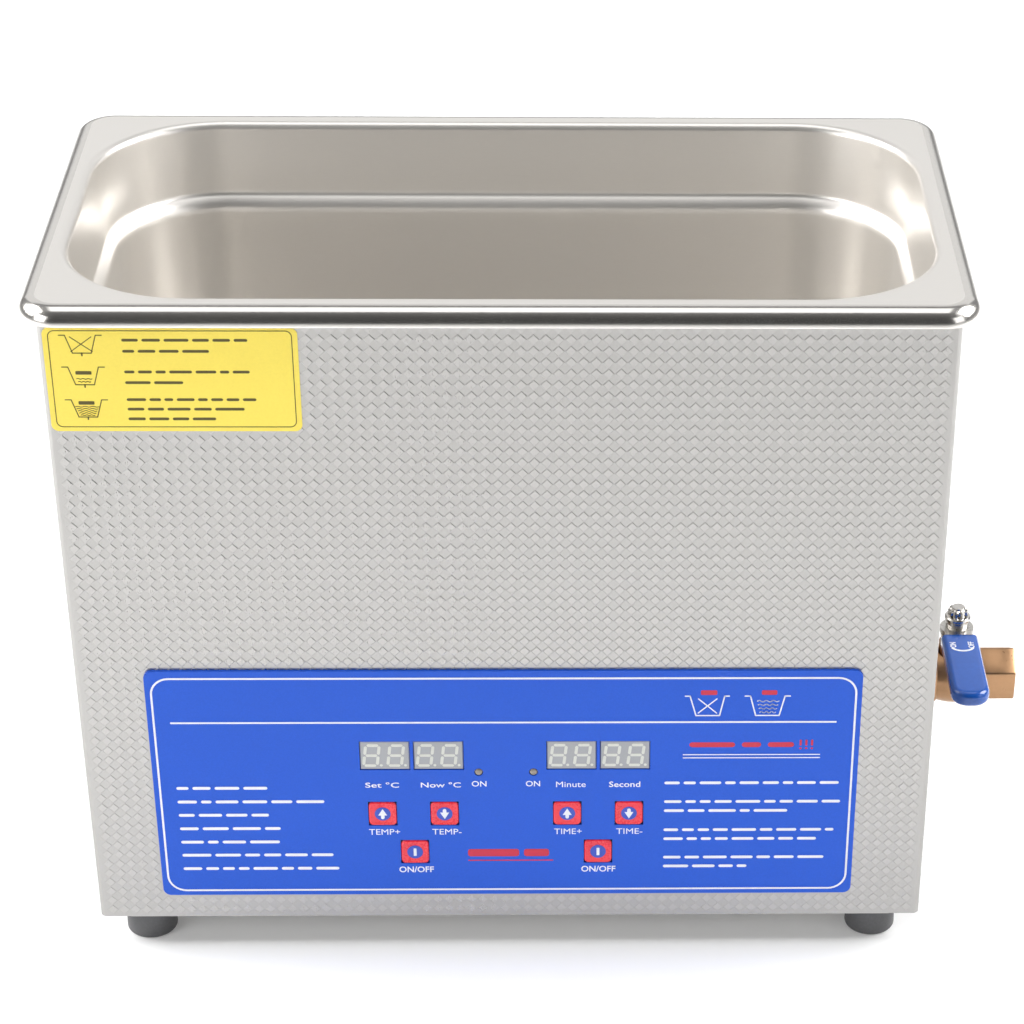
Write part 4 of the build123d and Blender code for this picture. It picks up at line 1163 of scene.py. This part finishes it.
def lever_sleeve():
    """The moulded grip: long, rounded at the front and soft along its edges."""
    bm = bmesh.new()
    corners = bmesh.ops.create_grid(bm, x_segments=1, y_segments=1, size=1.0)["verts"]
    centre_x, centre_y, low = SLEEVE_CENTRE
    for vert in corners:
        vert.co = (centre_x + vert.co.x * SLEEVE_HALF[0], centre_y + vert.co.y * SLEEVE_HALF[1], low)
    front = [vert for vert in corners if vert.co.y < centre_y]
    bmesh.ops.bevel(
        bm, geom=front, offset=SLEEVE_FRONT_ROUND, offset_type="ABSOLUTE", affect="VERTICES", segments=8,
        profile=0.5, material=-1,
    )
    rear = [vert for vert in bm.verts if vert.co.y > centre_y + SLEEVE_HALF[1] / 2]
    bmesh.ops.bevel(
        bm, geom=rear, offset=SLEEVE_REAR_ROUND, offset_type="ABSOLUTE", affect="VERTICES", segments=4,
        profile=0.5, material=-1,
    )
    made = bmesh.ops.extrude_face_region(bm, geom=list(bm.faces))
    bmesh.ops.translate(bm, vec=(0, 0, SLEEVE_HEIGHT), verts=verts_in(made))
    bmesh.ops.recalc_face_normals(bm, faces=bm.faces)
    bmesh.ops.bevel(
        bm, geom=flat_edges(bm), offset=SLEEVE_EDGE, affect="EDGES", segments=6, profile=0.5, material=-1
    )
    return shift(tidy_solid(bm), VALVE_X)


def sleeve_marks():
    """The words for open and shut, joined by an arc."""
    marks = bmesh.new()
    for text, offset, reach in MARKS:
        word = bmesh.new()
        words(word, text, -reach, reach, -1.1, 2.3, 0.02)
        join(marks, shift(word, VALVE_X + offset, MARKS_Y, 0, math.pi / 2))
    points = []
    for angle in (math.radians(degrees) for degrees in ARC_ANGLES):
        points.append((VALVE_X + ARC_RADII[0] * math.sin(angle), ARC_CENTRE - ARC_RADII[1] * math.cos(angle)))
    for index, (start, end) in enumerate(zip(points, points[1:])):
        high = 0.08 + 0.02 * (index % 2)    # neighbours overlap, so they differ in height
        stroke(marks, *start, *end, 0.95, high=high)
    bmesh.ops.translate(marks, vec=(0, 0, SLEEVE_CENTRE[2] + SLEEVE_HEIGHT), verts=marks.verts)
    return marks


class CLEANER_OT_valve(bpy.types.Operator):
    """Make the drain valve: body, gland nut, lever sleeve and lock nut"""

    bl_idname = "cleaner.valve"
    bl_label = "Drain valve"

    def execute(self, context):
        colours = context.scene.cleaner_colours
        brass = metal("forged_brass", colours.brass[:3], 0.9, 0.32, 0.1, 500.0, broad=90.0, bump=0.12)
        chrome = bright_plate()
        stem = Matrix.Translation((VALVE_X, 0, 0))
        ball = Matrix.Translation((VALVE_X, 0, VALVE_Z))
        bm = hexagonal_end(VALVE_X + 9.5, VALVE_END, 20.0, OUTLET_HOLE)
        join(bm, hexagonal_end(VALVE_START, VALVE_X - 7.5, 22.0))
        join(bm, turned(BARREL, 56, ball @ Matrix.Rotation(math.pi / 2, 4, "Y")))
        join(bm, turned(BOSS, 40, ball))
        settle("valve_casting", bm, [brass], "housing", ["valve_body"], 30.0)

        gland = bmesh.new()
        bmesh.ops.create_cone(gland, cap_ends=True, segments=6, radius1=6.93, radius2=6.93, depth=3.2)
        bmesh.ops.bevel(
            gland, geom=list(gland.edges), offset=0.45, affect="EDGES", segments=2, profile=0.5, material=-1
        )
        shift(gland, VALVE_X, 0, 87.6)
        settle("gland_hexagon", gland, [chrome], "housing", ["gland_nut"], 30.0)

        nut = notched_nut()
        dark = metal("stem_end", (0.09, 0.085, 0.08), 0.6, 0.42, 0.15, 900.0, bump=0.2)
        join(nut, turned(STEM_TIP, 24, stem), 1)
        settle("lever_lock_nut", nut, [chrome, dark], "valve_handle", ["lever_nut"], 35.0)

        vinyl = finish_material(
            "blue_vinyl_dip", colours.grip, dark=0.88, roughness=0.2, spread=0.06, scale=600.0, broad=60.0,
            bump=0.06, depth=0.02, coat=0.45, coat_roughness=0.08,
        )
        settle("lever_sleeve", lever_sleeve(), [vinyl], "valve_handle", ["lever_grip"], 40.0)
        settle("sleeve_print", sleeve_marks(), [white_print()], "valve_handle")
        plate = metal("lever_plate_steel", (0.62, 0.6, 0.57), 0.82, 0.28, 0.12, 500.0, bump=0.08)
        dress("valve_lever", plate)
        dress("valve_stem", chrome)
        dress("valve_ball", chrome)
        dress("drain_nipple", metal("turned_brass", (0.55, 0.36, 0.16), 0.8, 0.3, 0.1, 600.0, bump=0.1))
        return {"FINISHED"}


# ---- feet ----------------------------------------------------------------------------------------
FOOT_PLACE = (138.7, 69.3)
FOOT_BASE_ROUND = (9.6, 1.4)    # radius of the foot's base, and of the round along its edge
FOOT_TOP = ((2.2, 12.8), (9.0, 12.8), (9.25, 12.7), (9.35, 12.3))           # (radius, height)
FOOT_HOLLOW = (
    (5.1, 0), (4.7, 0.15), (4.5, 0.5), (4.5, 5.7), (4.4, 6.0),
    (3.9, 6.0), (3.9, 9.2), (2.2, 9.2), (2.2, 12.8),
)


class CLEANER_OT_feet(bpy.types.Operator):
    """Make the four moulded rubber feet"""

    bl_idname = "cleaner.feet"
    bl_label = "Feet"

    def execute(self, context):
        rubber = finish_material(
            "dark_rubber", srgb(92, 92, 94), dark=0.75, roughness=0.5, spread=0.15, scale=1100.0, broad=70.0,
            bump=0.25, depth=0.06,
        )
        out, edge = FOOT_BASE_ROUND
        base = [(out - edge * (1 - math.cos(a)), edge - edge * math.sin(a)) for a in quarter(6)]
        profile = [*FOOT_TOP, *base, *FOOT_HOLLOW]
        for end, sign_y in (("front", -1), ("rear", 1)):
            for side, sign_x in (("left", -1), ("right", 1)):
                place = Matrix.Translation((sign_x * FOOT_PLACE[0], sign_y * FOOT_PLACE[1], 0))
                node = f"foot_{end}_{side}"
                foot = turned(profile, 48, place)
                settle(f"{node}_rubber", foot, [rubber], "housing", [node], 35.0)
        return {"FINISHED"}


# ---- rear fittings and the parts inside ----------------------------------------------------------
class CLEANER_OT_rear(bpy.types.Operator):
    """Finish the mains inlet and the rocker switch at the rear"""

    bl_idname = "cleaner.rear"
    bl_label = "Rear fittings"

    def execute(self, context):
        black = moulded_black()
        gloss = finish_material(
            "rocker_black", srgb(24, 24, 26), dark=0.8, roughness=0.25, spread=0.08, scale=1200.0, bump=0.08,
            coat=0.3,
        )
        dress("power_inlet", black)
        dress("switch_housing", black)
        dress("power_rocker", gloss)
        dress("inlet_pins", metal("blade_plate", (0.72, 0.68, 0.58), 0.85, 0.24, 0.1, 700.0))
        return {"FINISHED"}


INNER_METALS = (                # name, colour, dark share, roughness, its spread, grain scale, nodes
    ("zinc_plate", (0.66, 0.66, 0.64), 0.8, 0.32, 0.14, 600.0, (
        "foot_screws", "foot_nuts", "base_screws", "board_studs", "board_nuts", "generator_screws",
        "inlet_screws",
    )),
    ("machined_steel_bar", (0.42, 0.41, 0.4), 0.8, 0.34, 0.14, 600.0, (
        "transducer_back_masses", "transducer_bolts",
    )),
    ("stainless_fitting_bar", (0.58, 0.56, 0.53), 0.85, 0.26, 0.12, 500.0, (
        "drain_socket", "drain_elbow", "thermal_sensor",
    )),
    ("brass_sheet", (0.6, 0.4, 0.17), 0.8, 0.3, 0.12, 500.0, ("transducer_electrodes", "bulkhead_nut")),
    ("cast_aluminium", (0.72, 0.73, 0.74), 0.85, 0.4, 0.14, 700.0, ("transducer_horns", "heat_sink")),
)
INNER_FINISHES = (              # name, colour, dark share, roughness, its spread, grain scale, bump, nodes
    ("ferrite_grey", (52, 52, 56), 0.75, 0.6, 0.15, 900.0, 0.3, ("transformer_core",)),
    ("ceramic_ring", (196, 190, 172), 0.9, 0.5, 0.12, 900.0, 0.15, ("piezo_rings",)),
    ("white_nylon", (226, 224, 216), 0.92, 0.45, 0.1, 900.0, 0.15, ("generator_spacers", "valve_seals")),
    ("heater_silicone", (196, 96, 50), 0.85, 0.6, 0.12, 900.0, 0.3, ("heater_pads",)),
)


class CLEANER_OT_inside(bpy.types.Operator):
    """Finish the fasteners, boards, transducers and pipes inside the housing"""

    bl_idname = "cleaner.inside"
    bl_label = "Inner parts"

    def execute(self, context):
        for *finish, nodes in INNER_METALS:
            for node in nodes:
                dress(node, metal(*finish))
        for name, colour, dark, roughness, spread, scale, bump, nodes in INNER_FINISHES:
            material = finish_material(name, srgb(*colour), dark, roughness, spread, scale=scale, bump=bump)
            for node in nodes:
                dress(node, material)
        sheet = metal("base_sheet", (0.5, 0.49, 0.47), 0.85, 0.38, 0.12, 300.0, stretch=(0.15, 1, 1))
        dress("base_plate", sheet)
        copper = finish_material(
            "enamelled_winding", srgb(176, 92, 44), dark=0.7, roughness=0.35, spread=0.15, scale=500.0,
            stretch=(0.1, 0.1, 3.0), bump=0.5, depth=0.3,
        )
        dress("transformer_coil", copper)
        green = srgb(28, 92, 52)
        board = finish_material("board_green", green, dark=0.8, roughness=0.42, scale=800.0, coat=0.2)
        for node in ("control_board", "generator_board"):
            dress(node, board)
        for node in ("key_switches", "filter_capacitors", "power_transistors"):
            dress(node, moulded_black())
        return {"FINISHED"}


# ---- stage ---------------------------------------------------------------------------------------
EYE = (0.02263, -1.00620, 0.70187)      # metres
PITCH = 34.05                   # degrees
YAW = 2.03
ROLL = 0.98
LENS = 105.81                   # millimetres, on a sensor 36 wide
SHIFT = (-0.1431, 0.2580)
SKY_SPAN = (-0.95, 0.15)        # from the front to just behind the object
SKY_STRENGTH = (0.07, 0.25)
FLOOR_GLOW = 0.12
SOFT_BOXES = (                  # name, place, aim, width and height in metres, watts
    ("overhead_box", (0.0, 0.05, 1.5), (0, 0.0, 0.1), 1.1, 0.8, 4.0),
    ("back_box", (0.0, 2.0, 1.35), (0, 0, 0.2), 3.4, 1.7, 11.5),
    ("front_left_box", (-1.5, -1.15, 0.8), (0, 0, 0.15), 0.9, 1.1, 13.0),
    ("front_right_box", (1.5, -1.15, 0.8), (0, 0, 0.15), 0.9, 1.1, 4.5),
    ("left_box", (-1.2, 0.1, 1.0), (0, 0, 0.2), 0.9, 0.9, 28.0),
    ("right_box", (1.2, 0.1, 1.0), (0, 0, 0.2), 0.9, 0.9, 23.5),
)


def soft_box(name, location, target, size_x, size_y, power):
    """A rectangular area light aimed at a point, not seen by the camera itself."""
    light = bpy.data.lights.new(name, "AREA")
    light.shape = "RECTANGLE"
    light.size = size_x
    light.size_y = size_y
    light.energy = power
    lamp = bpy.data.objects.new(name, light)
    bpy.context.scene.collection.objects.link(lamp)
    lamp.location = location
    lamp.rotation_euler = (Vector(target) - Vector(location)).to_track_quat("-Z", "Y").to_euler()
    lamp.visible_camera = False


def studio_sky(scene):
    """A pale surround that is darker towards the front, and plain white where the camera sees it directly."""
    world = bpy.data.worlds.new("studio")
    scene.world = world
    world.use_nodes = True
    nodes = world.node_tree.nodes
    links = world.node_tree.links
    output = nodes["World Output"]
    surround = nodes["Background"]
    seen = nodes.new("ShaderNodeBackground")
    seen.inputs["Color"].default_value = (1, 1, 1, 1)
    seen.inputs["Strength"].default_value = 1.0
    place = nodes.new("ShaderNodeTexCoord")
    split = nodes.new("ShaderNodeSeparateXYZ")
    ramp = nodes.new("ShaderNodeMapRange")
    ramp.interpolation_type = "SMOOTHSTEP"
    ramp.inputs["From Min"].default_value, ramp.inputs["From Max"].default_value = SKY_SPAN
    ramp.inputs["To Min"].default_value, ramp.inputs["To Max"].default_value = SKY_STRENGTH
    links.new(place.outputs["Generated"], split.inputs["Vector"])
    links.new(split.outputs["Y"], ramp.inputs["Value"])
    links.new(ramp.outputs["Result"], surround.inputs["Strength"])
    surround.inputs["Color"].default_value = (1, 1, 1, 1)
    path = nodes.new("ShaderNodeLightPath")
    mix = nodes.new("ShaderNodeMixShader")
    links.new(path.outputs["Is Camera Ray"], mix.inputs["Fac"])
    links.new(surround.outputs["Background"], mix.inputs[1])
    links.new(seen.outputs["Background"], mix.inputs[2])
    links.new(mix.outputs["Shader"], output.inputs["Surface"])


def studio_floor():
    """A wide pale floor."""
    bm = bmesh.new()
    bmesh.ops.create_grid(bm, x_segments=8, y_segments=8, size=6.0)
    mesh = bpy.data.meshes.new("studio_floor")
    bm.to_mesh(mesh)
    bm.free()
    white = finish_material(
        "floor_white", (0.9, 0.9, 0.9, 1), dark=0.99, roughness=0.8, spread=0.05, scale=3.0, broad=0.5,
        bump=0.0, specular=0.0,
    )
    glow = white.node_tree.nodes["Principled BSDF"]
    glow.inputs["Emission Color"].default_value = (1, 1, 1, 1)
    glow.inputs["Emission Strength"].default_value = FLOOR_GLOW
    mesh.materials.append(white)
    floor = bpy.data.objects.new("studio_floor", mesh)
    return floor


def product_camera():
    """The camera, in front of the object and above it, with its horizon turned by the roll."""
    pitch, yaw, roll = (math.radians(angle) for angle in (PITCH, YAW, ROLL))
    forward = Vector((math.sin(yaw) * math.cos(pitch), math.cos(yaw) * math.cos(pitch), -math.sin(pitch)))
    right = Vector((math.cos(yaw), -math.sin(yaw), 0))
    up = right.cross(forward)
    across = math.cos(roll) * right + math.sin(roll) * up
    above = math.cos(roll) * up - math.sin(roll) * right
    data = bpy.data.cameras.new("product_camera")
    data.sensor_width = 36.0
    data.lens = LENS
    data.shift_x, data.shift_y = SHIFT
    data.clip_start = 0.05
    camera = bpy.data.objects.new("product_camera", data)
    camera.matrix_world = Matrix.Translation(EYE) @ Matrix((across, above, -forward)).transposed().to_4x4()
    return camera


class CLEANER_OT_stage(bpy.types.Operator):
    """Set the floor, the soft lights and the camera"""

    bl_idname = "cleaner.stage"
    bl_label = "Stage"

    def execute(self, context):
        scene = context.scene
        scene.collection.objects.link(studio_floor())
        for box in SOFT_BOXES:
            soft_box(*box)
        studio_sky(scene)
        scene.camera = product_camera()
        scene.collection.objects.link(scene.camera)
        scene.view_settings.view_transform = "Standard"
        return {"FINISHED"}


# ---- sidebar and registration --------------------------------------------------------------------
OPERATORS = (
    CLEANER_OT_bath, CLEANER_OT_housing, CLEANER_OT_panel, CLEANER_OT_label, CLEANER_OT_displays,
    CLEANER_OT_keys, CLEANER_OT_valve, CLEANER_OT_feet, CLEANER_OT_rear, CLEANER_OT_inside, CLEANER_OT_stage,
)


class CLEANER_PT_sidebar(bpy.types.Panel):
    """Lists the settings and the steps of the cleaner"""

    bl_idname = "CLEANER_PT_sidebar"
    bl_label = "Ultrasonic cleaner"
    bl_space_type = "VIEW_3D"
    bl_region_type = "UI"
    bl_category = "Cleaner"

    def draw(self, context):
        column = self.layout.column(align=True)
        for settings in (context.scene.cleaner_sizes, context.scene.cleaner_colours):
            for name in settings.__annotations__:
                column.prop(settings, name)
        for operator in OPERATORS:
            column.operator(operator.bl_idname)


CLASSES = (CleanerSizes, CleanerColours, *OPERATORS, CLEANER_PT_sidebar)


def register():
    """Makes the settings and the steps known to Blender."""
    for cls in CLASSES:
        bpy.utils.register_class(cls)
    bpy.types.Scene.cleaner_sizes = bpy.props.PointerProperty(type=CleanerSizes)
    bpy.types.Scene.cleaner_colours = bpy.props.PointerProperty(type=CleanerColours)


def unregister():
    """Takes the settings and the steps away again."""
    del bpy.types.Scene.cleaner_colours
    del bpy.types.Scene.cleaner_sizes
    for cls in reversed(CLASSES):
        bpy.utils.unregister_class(cls)


def main():
    """Builds everything."""
    register()
    bpy.ops.cleaner.bath()
    bpy.ops.cleaner.housing()
    bpy.ops.cleaner.panel()
    bpy.ops.cleaner.label()
    bpy.ops.cleaner.displays()
    bpy.ops.cleaner.keys()
    bpy.ops.cleaner.valve()
    bpy.ops.cleaner.feet()
    bpy.ops.cleaner.rear()
    bpy.ops.cleaner.inside()
    bpy.ops.cleaner.stage()


if __name__ == "__main__":
    main()
